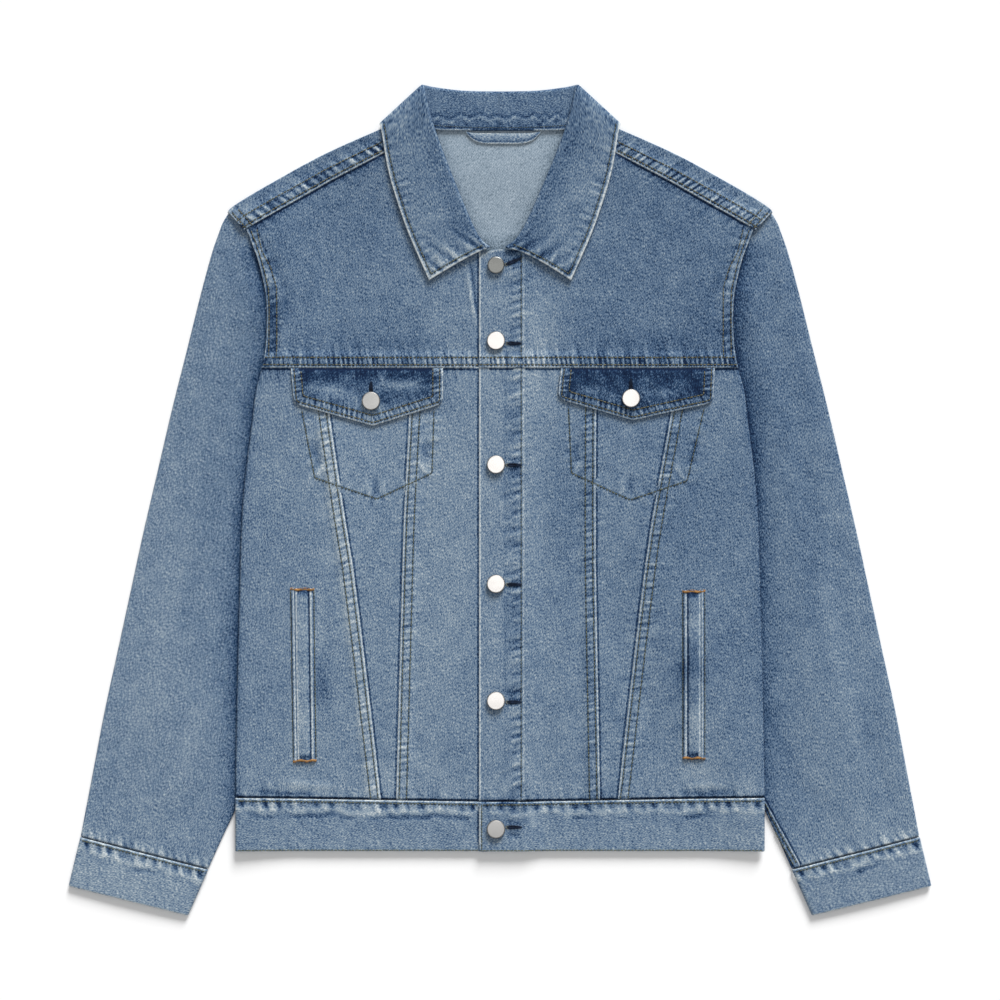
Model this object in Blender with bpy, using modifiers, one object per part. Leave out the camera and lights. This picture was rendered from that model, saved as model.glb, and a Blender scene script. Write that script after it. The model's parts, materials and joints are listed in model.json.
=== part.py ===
"""A denim jacket laid flat, closed, face up, every cut-and-sewn piece a solid of its own.

Metres, +Z up from the table, +Y toward the collar, +X toward the wearer's left. The origin is on the
table under the middle of the jacket. Sizes below are in millimetres and are turned to metres once, in
sheet() and turned().
"""

import math
from collections import namedtuple

import bmesh
import bpy

MM = 0.001

# Cloth
CLOTH = 1.2  # one layer of denim
BAND = 2.2  # a folded band: waistband and cuffs
FOLDED = 2.0  # a folded piece: collar and flaps
GAP = 0.3  # between pieces that are sewn or lie together
EASE = 0.2  # more room where two curved layers lie on each other
SEAM_STEP = 1.2  # height of a lapped edge above the piece it covers
SEAM_WIDTH = 10.0  # a lapped edge is flat for its two rows of stitches
SEAM_SLOPE = 6.0  # and slopes away behind them

# Heights that the main seams keep, from the middle of the jacket
YOKE_SEAM = 123.1
WAIST_TOP = -279.1
HEM = -326.4
WAIST_HALF = 246.0
BAND_EDGE = -19.3  # the left front's edge, lapped over the right front
BAND_STITCH = 20.5  # the inner edge of the button band
NECK_TOP = 231.0  # top of the closed fronts, between the collar's leaves
SLEEVE_HEAD = 270.0  # no sleeve lies above this height
SHOULDER_HALF = 253.0  # the shoulder's tip
ARMHOLE_TOP = 250.4  # of the front yoke
BACK_SEAM = 130.1  # under the back yoke, hidden
FLAP_FOOT = 76.0  # below it the lapped edges stand up, clear of the pocket flaps

# What lies below the body lifts it
SLEEVE_RISE = 2 * (CLOTH + GAP) + 0.4
FALL_RISE = FOLDED + GAP + EASE
REACH = 70.0  # the lift dies out this far from what causes it
TURN_LOW = 0.6  # a turned-down edge stops this far above what the piece below it rests on
BODY_PUFF = 1.4  # slack between front and back, at the middle
SLEEVE_PUFF = 1.8

Edge = namedtuple("Edge", "y half")
BODY_EDGE = [  # armhole, then side of the body
    Edge(250.5, 235.0), Edge(237.5, 230.2), Edge(224.5, 225.3), Edge(201.2, 219.5), Edge(182.6, 216.9),
    Edge(153.8, 217.0), Edge(135.2, 218.8), Edge(123.1, 221.3), Edge(102.6, 227.0), Edge(80.3, 229.7),
    Edge(0.3, 239.0), Edge(-92.7, 242.3), Edge(-185.7, 244.6), Edge(-278.7, WAIST_HALF),
    Edge(-327.0, WAIST_HALF),
]
SLEEVE_OUTER = [
    Edge(264.0, 255.0), Edge(257.0, 258.8), Edge(251.4, 260.8), Edge(232.8, 267.4), Edge(195.6, 277.6),
    Edge(139.8, 291.5), Edge(84.0, 305.5), Edge(28.2, 318.5), Edge(-27.6, 331.5), Edge(-83.4, 343.6),
    Edge(-139.2, 355.7), Edge(-195.0, 367.8), Edge(-250.8, 378.5), Edge(-313.1, 390.4),
]
SLEEVE_INNER = [  # under the armhole and the side of the body, then in sight above the cuff
    Edge(252.0, 231.0), Edge(239.3, 221.3), Edge(224.4, 215.8), Edge(201.2, 210.2), Edge(182.6, 208.3),
    Edge(153.8, 207.4), Edge(135.2, 205.5), Edge(102.6, 195.3), Edge(65.4, 174.8), Edge(18.9, 160.0),
    Edge(-36.9, 153.5), Edge(-83.4, 162.8), Edge(-139.2, 183.2), Edge(-185.7, 201.8), Edge(-232.2, 221.3),
    Edge(-278.7, 241.8), Edge(-315.9, 259.5), Edge(-343.3, 271.8),
]
BACK_EDGE = [  # the back's own edge: clear of the sleeve above, over it below
    Edge(268.0, 251.0), Edge(252.0, 227.5), Edge(239.3, 218.5), Edge(224.4, 213.0), Edge(201.2, 207.2),
    Edge(182.6, 205.0), Edge(153.8, 204.2), Edge(135.2, 205.5), Edge(118.0, 213.0), Edge(102.6, 223.0),
    Edge(80.3, 226.9), Edge(0.3, 236.2), Edge(-92.7, 239.5), Edge(-185.7, 241.8), Edge(-279.0, 243.2),
]

# The V inserts: half width of their inner and outer seams, on the wearer's left and right
Vee = namedtuple("Vee", "y left_inner left_outer right_inner right_outer")
VEES = [
    Vee(123.1, 89.8, 167.1, 82.3, 161.4), Vee(78.4, 89.7, 159.5, 84.6, 155.3),
    Vee(-17.3, 89.3, 142.3, 89.3, 143.2), Vee(-64.8, 90.2, 135.8, 92.1, 135.8),
    Vee(-279.1, 93.0, 112.5, 97.7, 110.7),
]

# Shoulder: the fold over the shoulder, and the front seam of the strip that turns over it
Shoulder = namedtuple("Shoulder", "fold_x fold_y seam_x seam_y")
SHOULDERS = [
    Shoulder(80.0, 358.0, 80.0, 338.5), Shoulder(110.7, 345.3, 108.8, 322.5),
    Shoulder(165.5, 321.2, 158.0, 297.0), Shoulder(213.0, 295.0, 201.0, 272.5),
    Shoulder(246.4, 274.7, 228.0, 257.0), Shoulder(SHOULDER_HALF, 268.0, 237.6, 251.2),
]

# Cuff: its four corners at the outer and inner edge
CUFF_OUTER_TOP = (390.6, -313.4)
CUFF_OUTER_END = (401.5, -358.9)
CUFF_INNER_TOP = (271.6, -343.7)
CUFF_INNER_END = (290.4, -386.4)

# Collar: a section at each station from the middle of the back to the left front end. neck is the seam,
# roll the fold between stand and fall, edge the free edge. turn is how far the fall has come over: below
# the stand at -90, beside it at 0, above it at 90.
Section = namedtuple("Section", "neck roll edge turn")
COLLAR = [
    Section((0.0, 343.5, 5.3), (0.0, 379.6, 2.8), (0.0, 318.0, 1.08), -90),
    Section((32.0, 343.5, 5.3), (33.0, 380.2, 2.8), (42.0, 318.5, 1.08), -90),
    Section((55.0, 343.8, 5.3), (59.0, 383.2, 2.8), (80.0, 323.0, 1.08), -90),
    Section((67.5, 346.0, 5.4), (68.5, 385.0, 3.1), (102.0, 336.0, 1.15), -80),
    Section((75.0, 350.0, 6.0), (71.0, 385.4, 4.2), (110.5, 348.3, 1.9), -35),
    Section((77.0, 350.5, 6.9), (71.6, 385.2, 5.6), (111.8, 349.0, 4.6), 5),
    Section((78.3, 347.0, 7.7), (71.0, 383.0, 7.0), (111.2, 347.8, 7.8), 50),
    Section((78.5, 341.0, 7.4), (68.4, 371.0, 8.3), (109.3, 338.0, 9.0), 85),
    Section((78.2, 331.0, 6.6), (63.2, 350.9, 8.3), (107.2, 324.0, 8.8), 90),
    Section((75.5, 313.0, 5.8), (54.2, 325.6, 7.4), (103.6, 305.0, 8.0), 90),
    Section((67.5, 286.0, 5.4), (43.2, 298.0, 7.0), (96.8, 281.0, 7.4), 90),
    Section((52.0, 258.5, 5.2), (29.8, 266.5, 6.9), (86.0, 250.0, 7.0), 90),
    Section((31.0, 241.5, 5.2), (18.4, 244.2, 6.9), (74.0, 222.0, 7.0), 90),
    Section((13.5, 233.5, 5.2), (9.6, 234.6, 6.9), (66.0, 204.2, 6.8), 90),
]
ROLL = 1.65  # half the height of the collar's fold
CLOSURE = -2.3  # the collar's front ends sit this far toward the lap

Flap = namedtuple("Flap", "inner_top outer_top inner_low point outer_low")
FLAPS = {
    "left": Flap((56.7, 122.7), (199.5, 122.7), (53.9, 94.3), (123.4, 74.2), (198.1, 90.5)),
    "right": Flap((53.0, 122.7), (194.4, 122.7), (53.0, 89.6), (118.1, 69.1), (191.6, 89.6)),
}
Welt = namedtuple("Welt", "top low inner_top outer_top inner_low outer_low")
WELTS = {
    "left": Welt(-83.4, -241.0, 170.2, 189.7, 170.6, 189.9),
    "right": Welt(-81.5, -243.4, 173.4, 194.0, 171.6, 191.6),
}
WELT_STEP = 0.8  # the folded strip stands above its frame

# Shank buttons
CAP = 8.5  # radius
CAP_HEIGHT = 2.6
SHANK = 4.0  # radius
SHANK_HEIGHT = 1.0
BUTTON_X = -3.8
BUTTON_ROWS = (218.4, 148.2, 33.2, -77.6, -186.2, -305.1)
FLAP_BUTTONS = {"left": (121.6, 94.7), "right": (-119.8, 92.2)}
BUTTON_SIDES = 16

LOOP_PATH = [(-31.0, 340.6), (-26.5, 335.6), (3.0, 333.4), (32.5, 335.6), (37.0, 340.6)]
LOOP_WIDTH = 5.6

# Rows and columns of the cloth's grids
PANEL_ROWS = (122.7, 100.0, FLAP_FOOT, 66.0, 30.0, -20.0, -75.0, -130.0, -185.0, -235.0, -262.0, -278.8)
BACK_COLUMNS = 12
BAND_COLUMNS = 14
SIDES = {"left": 1, "right": -1}


def spline(points, share):
    """The point at this share, 0 to 1, of a smooth curve through the points, whatever their dimension."""
    place = min(max(share, 0.0), 1.0) * (len(points) - 1)
    i = min(int(place), len(points) - 2)
    t = place - i
    a, b = points[i], points[i + 1]
    before, after = points[max(i - 1, 0)], points[min(i + 2, len(points) - 1)]
    return tuple(
        q
        + 0.5 * t * (r - p + t * (2 * p - 5 * q + 4 * r - s + t * (3 * (q - r) + s - p)))
        for p, q, r, s in zip(before, a, b, after)
    )


def across(table, column, y):
    """A column of a table at this height, on a smooth curve through its rows."""
    rows = sorted((row.y, getattr(row, column)) for row in table)
    y = min(max(y, rows[0][0]), rows[-1][0])
    i = max(k for k in range(len(rows) - 1) if rows[k][0] <= y)

    def slope(k):
        low, high = rows[max(k - 1, 0)], rows[min(k + 1, len(rows) - 1)]
        return (high[1] - low[1]) / (high[0] - low[0])

    span = rows[i + 1][0] - rows[i][0]
    t = (y - rows[i][0]) / span
    return (
        (2 * t**3 - 3 * t**2 + 1) * rows[i][1]
        + (t**3 - 2 * t**2 + t) * span * slope(i)
        + (3 * t**2 - 2 * t**3) * rows[i + 1][1]
        + (t**3 - t**2) * span * slope(i + 1)
    )


def mix(a, b, t):
    return tuple(p + (q - p) * t for p, q in zip(a, b))


def fade(t):
    """1 up to 0, falling smoothly to 0 at 1 and after."""
    t = min(max(t, 0.0), 1.0)
    return 1 - t * t * (3 - 2 * t)


def nearest(route, x, y):
    return min(math.hypot(x - px, y - py) for px, py in route)


def step_up(y_from, y_to, steps):
    return [y_from + (y_to - y_from) * i / steps for i in range(steps + 1)]


SLEEVE_ROUTE = [(across(SLEEVE_INNER, "half", y), y) for y in step_up(252.0, -343.3, 90)]
FALL_ROUTE = [spline([section.edge[:2] for section in COLLAR[:6]], i / 30) for i in range(31)]


def rise(x, y):
    """How far the body is lifted off the table by the sleeve or the collar's fall below it."""
    x = abs(x)
    over_sleeve = SLEEVE_ROUTE[-1][1] < y < SLEEVE_HEAD and x > across(SLEEVE_INNER, "half", y)
    sleeve = 0.0 if over_sleeve else nearest(SLEEVE_ROUTE, x, y)
    over_fall = x < FALL_ROUTE[-1][0] and any(y > py and x < px + 4.0 for px, py in FALL_ROUTE)
    fall = 0.0 if over_fall else nearest(FALL_ROUTE, x, y)
    return max(SLEEVE_RISE * fade(sleeve / REACH), FALL_RISE * fade(fall / REACH))


def body_slack(x, y):
    """The front lies over the back with a little air, least at the sides and the hem."""
    return BODY_PUFF * fade(abs(x) / 250.0) * fade((-y - 150.0) / 180.0)


def front(x, y):
    """Underside of the fronts where nothing else lifts them."""
    return rise(x, y) + CLOTH + GAP + EASE + body_slack(x, y)


def band_front(x, y):
    """Underside of the front waistband."""
    return rise(x, y) + BAND + GAP + EASE + body_slack(x, y)


def lapped(distance):
    """Height of a lapped edge above the rest of its piece, at this distance from the edge."""
    return SEAM_STEP * min(max((SEAM_WIDTH + SEAM_SLOPE - distance) / SEAM_SLOPE, 0.0), 1.0)


def below_flap(y):
    return min(max((FLAP_FOOT - y) / 10.0, 0.0), 1.0)


def button_band(x, layer):
    """The left front's lift over the right front's edge."""
    inner, outer = BAND_STITCH + 2.5, BAND_STITCH + 20.5
    return (layer + GAP + EASE) * min(max((outer - x) / (outer - inner), 0.0), 1.0)


def new_material(name, colour, metallic=0.0, roughness=0.9):
    material = bpy.data.materials.new(name)
    material.use_nodes = True
    shader = material.node_tree.nodes["Principled BSDF"]
    shader.inputs["Base Color"].default_value = (*colour, 1.0)
    shader.inputs["Metallic"].default_value = metallic
    shader.inputs["Roughness"].default_value = roughness
    return material


def place(name, mesh, material):
    """A named object in the jacket's collection, with a material of its own."""
    own = material.copy()
    own.name = name + "_" + material.name
    mesh.materials.append(own)
    mesh.shade_smooth()
    mesh.set_sharp_from_angle(angle=math.radians(40))
    piece = bpy.data.objects.new(name, mesh)
    jacket.objects.link(piece)
    return piece


def sheet(name, rows, thickness, material, side=1.0):
    """Cloth through rows of points, thickened upward (side 1), to both sides (0) or downward (-1).

    Rows run down the jacket and each row runs toward +X, so the faces look up.
    """
    shape = bmesh.new()
    grid = [[shape.verts.new([c * MM for c in point]) for point in row] for row in rows]
    for upper, lower in zip(grid, grid[1:]):
        for i in range(len(upper) - 1):
            shape.faces.new((upper[i], lower[i], lower[i + 1], upper[i + 1]))
    mesh = bpy.data.meshes.new(name)
    shape.to_mesh(mesh)
    shape.free()
    piece = place(name, mesh, material)
    wall = piece.modifiers.new("wall", "SOLIDIFY")
    wall.thickness = thickness * MM
    wall.offset = side
    return piece


def turned(name, profile, at, material):
    """A shape turned about a vertical axis, its profile running down from the top of the axis."""
    mesh = bpy.data.meshes.new(name)
    points = [(radius * MM, 0.0, height * MM) for radius, height in profile]
    mesh.from_pydata(points, [(i, i + 1) for i in range(len(points) - 1)], [])
    piece = place(name, mesh, material)
    piece.location = [c * MM for c in at]
    spin = piece.modifiers.new("turn", "SCREW")
    spin.steps = spin.render_steps = BUTTON_SIDES
    spin.use_merge_vertices = True
    spin.merge_threshold = 0.00005
    return piece


def in_order(row, sign):
    """A row made from the middle outward, put on its own side of the jacket and run toward +X."""
    row = [(x * sign, y, z) for x, y, z in row]
    return row if sign > 0 else row[::-1]


def rolled(edge, y, top, bottom, thickness):
    """The last points of a row, where the upper cloth turns down over the lower at a folded edge.

    Given as distances from the middle. The wall is added outside them, so it reaches the edge.
    """
    inside = edge - thickness
    return [(inside - 0.8, y, top), (inside, y, top - 0.5), (inside, y, bottom)]


def turned_edge(edge, far, top, thickness):
    """The same for a tube that lies askew: from its edge toward its far side, the lowest point first."""
    width = math.dist(edge, far)
    steps = ((thickness, TURN_LOW), (thickness, top - 0.5), (thickness + 0.8, top))
    return [(*mix(edge, far, distance / width), z) for distance, z in steps]


def spread(start, end, count):
    """count values from start toward end, without either."""
    return [start + (end - start) * (i + 1) / (count + 1) for i in range(count)]


def make_back():
    rows = []
    for y in (129.8, 112.0, 95.0, 60.0, 10.0, -40.0, -90.0, -140.0, -185.0, -225.0, -255.0, WAIST_TOP + GAP):
        half = across(BACK_EDGE, "half", y)
        rows.append([(half * share, y, rise(half * share, y)) for share in step_up(-1, 1, BACK_COLUMNS)])
    sheet("back_panel", rows, CLOTH, denim)
    rows = []
    for y in (WAIST_TOP, -300.0, HEM):
        half = WAIST_HALF - BAND - GAP - EASE
        rows.append([(half * share, y, rise(half * share, y)) for share in step_up(-1, 1, BAND_COLUMNS)])
    sheet("waistband_back", rows, BAND, denim)


def make_back_yoke():
    """The yoke's back part, and the strips that turn over the shoulders to the front.

    Each column runs from the front seam of the strip over the shoulder's fold and down the back. The points
    are on the inside of the fold, with the wall outside them. Between the shoulders there is no strip, and
    the columns start at the neck.
    """
    strip_shares = (0.0, 0.42, 0.68, 0.93)
    fold_in = CLOTH
    back_rows = (0.12, 0.3, 0.5, 0.75, 1.0)
    columns = [(s, spline(SHOULDERS, s)) for s in step_up(0.0, 1.0, 9)]

    def column(shoulder):
        fold_x, fold_y, seam_x, seam_y = shoulder
        points = []
        for share in strip_shares:
            x, y = mix((seam_x, seam_y), (fold_x, fold_y), share)
            beside_collar = min(max((x - 112.0) / 12.0, 0.0), 1.0)
            across_strip = math.hypot(x - seam_x, y - seam_y)
            points.append((x, y, front(x, y) + beside_collar * lapped(across_strip)))
        low, high = rise(fold_x, fold_y) + CLOTH, points[-1][2]
        points.append((fold_x, fold_y - fold_in, (low + high) / 2))
        points += back_column(fold_x, fold_y - fold_in - 1.0, fold_x / SHOULDER_HALF)
        return points

    def back_column(x, top, share):
        points = [(x, top, rise(x, top) + CLOTH)]
        for down in back_rows:
            y = top + (BACK_SEAM - top) * down
            half = across(BACK_EDGE, "half", y)
            x_here = x + (half * share - x) * min(1.0, 3.0 * down)
            points.append((x_here, y, rise(x_here, y) + CLOTH))
        return points

    missing = [None] * (len(strip_shares) + 1)
    middle = []
    for x in (0.0, 20.0, 40.0, 58.0, 70.0):
        top = 350.0 + 8.0 * (1 - fade((x - 56.0) / 22.0))
        middle.append(missing + back_column(x, top, x / SHOULDER_HALF))
    half = middle + [column(shoulder) for _, shoulder in columns]
    lines = [[point and (-point[0], *point[1:]) for point in line] for line in half[:0:-1]] + half
    shape = bmesh.new()
    grid = [[point and shape.verts.new([c * MM for c in point]) for point in line] for line in lines]
    for left, right in zip(grid, grid[1:]):
        for i in range(len(left) - 1):
            corners = (left[i], right[i], right[i + 1], left[i + 1])
            if all(corners):
                shape.faces.new(corners)
    mesh = bpy.data.meshes.new("back_yoke")
    shape.to_mesh(mesh)
    shape.free()
    piece = place("back_yoke", mesh, denim)
    wall = piece.modifiers.new("wall", "SOLIDIFY")
    wall.thickness = CLOTH * MM
    wall.offset = 1.0


def make_front_yoke(side):
    """From the yoke seam to the shoulder, between the button band and neckline and the armhole."""
    sign, laps = SIDES[side], side == "left"
    start = BAND_EDGE if laps else BAND_EDGE + GAP + EASE
    neck = [section.neck[:2] for section in COLLAR[:7:-1]]
    outline = [(start, y) for y in (YOKE_SEAM + GAP, 133.4, 139.4, 165.0, 190.0, 212.0)]
    outline += [(start, NECK_TOP if laps else NECK_TOP - 2.0), (-3.0, NECK_TOP), (12.0, NECK_TOP + 0.5)]
    outline += [(x + 0.8, y - 0.6) for x, y in neck[1:]] + [(79.6, 338.1)]
    heights = [YOKE_SEAM + GAP, 133.4, 139.4, 156.0, 173.0, 187.0, 199.0, 206.0, 212.0]
    heights += spread(212.0, ARMHOLE_TOP, len(outline) - len(heights) - 1) + [ARMHOLE_TOP]
    seam_end = SHOULDERS[-1]
    rows = []
    for (x_in, y_in), y_out in zip(outline, heights):
        x_out = across(BODY_EDGE, "half", y_out)
        if y_out == heights[-1]:
            x_out, y_out = seam_end.seam_x - 0.3, seam_end.seam_y - 0.5
        nominal = (start, 0.0, BAND_STITCH, 23.0, 41.0, 70.0, 100.0, 130.0, 160.0, 190.0, 222.0)
        row = []
        for x_plain in nominal:
            share = (x_plain - start) / (nominal[-1] - start)
            x, y = mix((x_in, y_in), (x_out, y_out), share)
            z = front(x, y)
            if laps:
                z += lapped(y - YOKE_SEAM) + button_band(x, CLOTH)
            else:
                z += lapped(y - YOKE_SEAM) * min(max((x - 22.0) / 8.0, 0.0), 1.0)
            row.append((x, y, z))
        rows.append(in_order(row, sign))
    sheet("front_yoke_" + side, rows[::-1], CLOTH, denim)


def make_front_panel(side):
    """The centre front, with the button band, its outer edge lapped over the V insert."""
    sign, laps = SIDES[side], side == "left"
    start = BAND_EDGE if laps else BAND_EDGE + GAP + EASE
    rows = []
    for y in PANEL_ROWS:
        seam = across(VEES, side + "_inner", y) - GAP / 2
        row = []
        for x in (start, 0.0, BAND_STITCH, 23.0, 41.0, 58.0, seam - 16.0, seam - 10.0, seam):
            z = front(x, y) + below_flap(y) * lapped(seam - x)
            row.append((x, y, z + (button_band(x, CLOTH) if laps else 0.0)))
        rows.append(in_order(row, sign))
    sheet("front_panel_" + side, rows, CLOTH, denim)


def make_front_insert(side):
    rows = []
    for y in PANEL_ROWS:
        inner = across(VEES, side + "_inner", y) + GAP / 2
        outer = across(VEES, side + "_outer", y) - GAP / 2
        row = [(x, y, front(x, y)) for x in (inner, (inner + outer) / 2, outer)]
        rows.append(in_order(row, SIDES[side]))
    sheet("front_insert_" + side, rows, CLOTH, denim)


def make_side_front(side):
    """The side front, its inner edge lapped over the V insert, its outer edge turned down at the side."""
    rows = []
    for y in PANEL_ROWS:
        seam = across(VEES, side + "_outer", y) + GAP / 2
        edge = across(BODY_EDGE, "half", y)
        row = []
        for x in (seam, seam + 10.0, seam + 16.0, *spread(seam + 16.0, edge - 2.0, 3)):
            row.append((x, y, front(x, y) + below_flap(y) * lapped(x - seam)))
        row += rolled(edge, y, front(edge, y), rise(edge, y) + TURN_LOW, CLOTH)
        rows.append(in_order(row, SIDES[side]))
    sheet("side_front_" + side, rows, CLOTH, denim)


def make_waistband_front(side):
    laps = side == "left"
    start = BAND_EDGE if laps else BAND_EDGE + GAP + EASE
    rows = []
    for y in (WAIST_TOP - GAP, -295.0, -311.0, HEM):
        row = []
        for x in (start, 0.0, BAND_STITCH, 23.0, 41.0, 75.0, 110.0, 145.0, 180.0, 215.0):
            row.append((x, y, band_front(x, y) + (button_band(x, BAND) if laps else 0.0)))
        row += rolled(WAIST_HALF, y, band_front(WAIST_HALF, y), rise(WAIST_HALF, y) + TURN_LOW, BAND)
        rows.append(in_order(row, SIDES[side]))
    sheet("waistband_front_" + side, rows, BAND, denim)


def sleeve_slack(across_share, down_share, y):
    """The upper sleeve's air over the lower, where nothing covers it: a soft crown with long shallow creases.

    Near the armhole the sleeve comes up to the edge of the front that is sewn to it.
    """
    crown = math.sin(math.pi * across_share) * (1 - fade(down_share / 0.13))
    crease = 0.5 * math.sin(9.0 * across_share + 4.0 * down_share) * crown
    puff = SLEEVE_PUFF * crown**0.8 * fade((down_share - 0.75) / 0.25)
    return max(puff + crease, 0.0) + armhole_lift(across_share, y)


def armhole_lift(across_share, y):
    """The sleeve comes up to the armhole's edge where the seam runs down the front."""
    return 1.5 * fade(1.5 * (1 - across_share)) * fade((175.0 - y) / 35.0) * fade((y - 190.0) / 25.0)


def make_sleeve(side):
    """Two halves of a flattened tube, from the outer fold to the inner seam.

    The upper half has its slack as far as the side of the body, and lies flat where the body covers it.
    """
    tops, unders = [], []
    (outer_top, outer_end), (inner_top, inner_end) = [
        (table[0].y, table[-1].y) for table in (SLEEVE_OUTER, SLEEVE_INNER)
    ]
    for down in (0.0, 0.025, 0.06, 0.1, 0.15, *step_up(0.21, 0.93, 9), 0.985, 1.0):
        y_out, y_in = outer_top + (outer_end - outer_top) * down, inner_top + (inner_end - inner_top) * down
        outer = (across(SLEEVE_OUTER, "half", y_out), y_out)
        inner = (across(SLEEVE_INNER, "half", y_in), y_in)
        base = CLOTH + GAP + EASE
        width = outer[0] - inner[0]
        side_of_body = max(across(BODY_EDGE, "half", y_in) + 1.5, inner[0] + 7.0)
        in_sight = (outer[0] - side_of_body) / width
        top, under = [], []
        top += turned_edge(outer, inner, base, CLOTH)
        for share in (0.12, 0.28, 0.46, 0.64, 0.82, 0.93, 1.0):
            x, y = mix(outer, inner, share * in_sight)
            top.append((x, y, base + sleeve_slack(share, down, y)))
        lift = armhole_lift(1.0, y_in)
        top.append((*mix(outer, inner, (1 + in_sight) / 2), base + lift))
        top += [(x, y, z + lift) for x, y, z in turned_edge(inner, outer, base, CLOTH)[::-1]]
        first, last = mix(outer, inner, 1.6 / width), mix(inner, outer, 1.6 / width)
        for share in (0.0, 0.33, 0.67, 1.0):
            under.append((*mix(first, last, share), 0.0))
        tops.append(in_order(top[::-1], SIDES[side]))
        unders.append(in_order(under[::-1], SIDES[side]))
    sheet("sleeve_top_" + side, tops, CLOTH, denim)
    sheet("sleeve_under_" + side, unders, CLOTH, denim)


def make_cuff(side):
    tops, unders = [], []
    for down in (0.0, 0.33, 0.66, 1.0):
        outer = mix(CUFF_OUTER_TOP, CUFF_OUTER_END, down)
        inner = mix(CUFF_INNER_TOP, CUFF_INNER_END, down)
        width = math.dist(outer, inner)
        base = BAND + GAP
        top, under = [], []
        top += turned_edge(outer, inner, base, BAND)
        for share in (0.15, 0.32, 0.5, 0.68, 0.85):
            top.append((*mix(outer, inner, share), base + EASE + 0.8 * math.sin(math.pi * share)))
        top += turned_edge(inner, outer, base, BAND)[::-1]
        first, last = mix(outer, inner, 2.7 / width), mix(inner, outer, 2.7 / width)
        for share in (0.0, 0.33, 0.66, 1.0):
            under.append((*mix(first, last, share), 0.0))
        tops.append(in_order(top[::-1], SIDES[side]))
        unders.append(in_order(under[::-1], SIDES[side]))
    sheet("cuff_top_" + side, tops, BAND, denim)
    sheet("cuff_under_" + side, unders, BAND, denim)


def collar_line(section, shift):
    """One line across the collar, from the neck seam over the roll to the free edge."""
    neck, roll, edge = section[0:3], section[3:6], section[6:9]
    turn = math.radians(section[9])
    roll = (roll[0] + shift, roll[1], roll[2])
    back = ((neck[0] + edge[0]) / 2 - roll[0], (neck[1] + edge[1]) / 2 - roll[1])
    length = math.hypot(*back)
    away = (-back[0] / length, -back[1] / length)
    beside = (away[1], -away[0])
    points = []
    for angle in (-90, -45, 0, 45, 90):
        out, over = math.cos(math.radians(angle)) - 1, math.sin(math.radians(angle))
        flat = ROLL * over * math.cos(turn)
        points.append((
            roll[0] + ROLL * out * away[0] + flat * beside[0],
            roll[1] + ROLL * out * away[1] + flat * beside[1],
            roll[2] + ROLL * over * math.sin(turn),
        ))
    stand = [neck, mix(neck, points[0], 0.5)]
    fall = [mix(points[-1], edge, share) for share in (0.33, 0.67, 1.0)]
    if turn > 0.8:
        fall = [(x, y, max(z, front(x, y) + CLOTH + GAP + EASE + FOLDED / 2)) for x, y, z in fall]
    return stand + points + fall


def make_collar():
    flat = [(*s.neck, *s.roll, *s.edge, s.turn) for s in COLLAR]
    half = []
    for i in range(29):
        share = i / 28
        toward_front = max(share - 0.6, 0.0) / 0.4
        half.append((spline(flat, share), CLOSURE * toward_front**2))
    left = [collar_line(section, shift) for section, shift in half]
    right = [[(-x, y, z) for x, y, z in collar_line(section, -shift)] for section, shift in half]
    sheet("collar", right[:0:-1] + left, FOLDED, denim, side=0.0)


def make_flap(side):
    flap = FLAPS[side]
    rows = []
    for down in (0.0, 0.33, 0.67, 1.0):
        row = []
        for share in (0.0, 0.25, 0.5, 0.75, 1.0):
            top = mix(flap.inner_top, flap.outer_top, share)
            ends = (flap.inner_low, flap.point, flap.outer_low)
            low = mix(*ends[:2], share * 2) if share <= 0.5 else mix(*ends[1:], share * 2 - 1)
            x, y = mix(top, low, down)
            row.append((x, y, front(x, y) + CLOTH + GAP + EASE))
        rows.append(in_order(row, SIDES[side]))
    sheet("flap_" + side, rows, FOLDED, denim)


def make_welt(side):
    """A frame with the folded strip of the pocket standing along its middle."""
    welt = WELTS[side]
    profile = ((0.0, 0.0), (0.26, 0.0), (0.32, WELT_STEP), (0.7, WELT_STEP), (0.76, 0.0), (1.0, 0.0))
    rows = []
    for down in step_up(0.0, 1.0, 6):
        y = welt.top + (welt.low - welt.top) * down
        inner = welt.inner_top + (welt.inner_low - welt.inner_top) * down
        outer = welt.outer_top + (welt.outer_low - welt.outer_top) * down
        row = []
        for share, step in profile:
            x = inner + (outer - inner) * share
            row.append((x, y, front(x, y) + CLOTH + GAP + EASE + step))
        rows.append(in_order(row, SIDES[side]))
    sheet("welt_" + side, rows, CLOTH, denim)


def make_hanger_loop():
    rows = []
    for i in range(13):
        share = i / 12
        x, y = spline(LOOP_PATH, share)
        ahead, behind = spline(LOOP_PATH, share + 0.02), spline(LOOP_PATH, share - 0.02)
        length = math.dist(ahead, behind)
        normal = ((ahead[1] - behind[1]) / length, -(ahead[0] - behind[0]) / length)
        row = []
        for offset in (LOOP_WIDTH / 2, -LOOP_WIDTH / 2):
            px, py = x + normal[0] * offset, y + normal[1] * offset
            row.append((px, py, rise(px, py) + CLOTH + GAP))
        rows.append(row)
    sheet("hanger_loop", rows, CLOTH, denim)


def make_button(name, x, y, seat):
    """A domed cap with a rounded rim, on a shank that stands on the cloth."""
    under, top = SHANK_HEIGHT, SHANK_HEIGHT + CAP_HEIGHT
    profile = (
        (0.0, top), (CAP - 2.5, top - 0.1), (CAP - 0.6, top - 0.6), (CAP, top - 1.4),
        (CAP - 0.5, under), (SHANK, under), (SHANK, 0.0), (0.0, 0.0),
    )
    turned(name, profile, (x, y, seat), metal)


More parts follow.
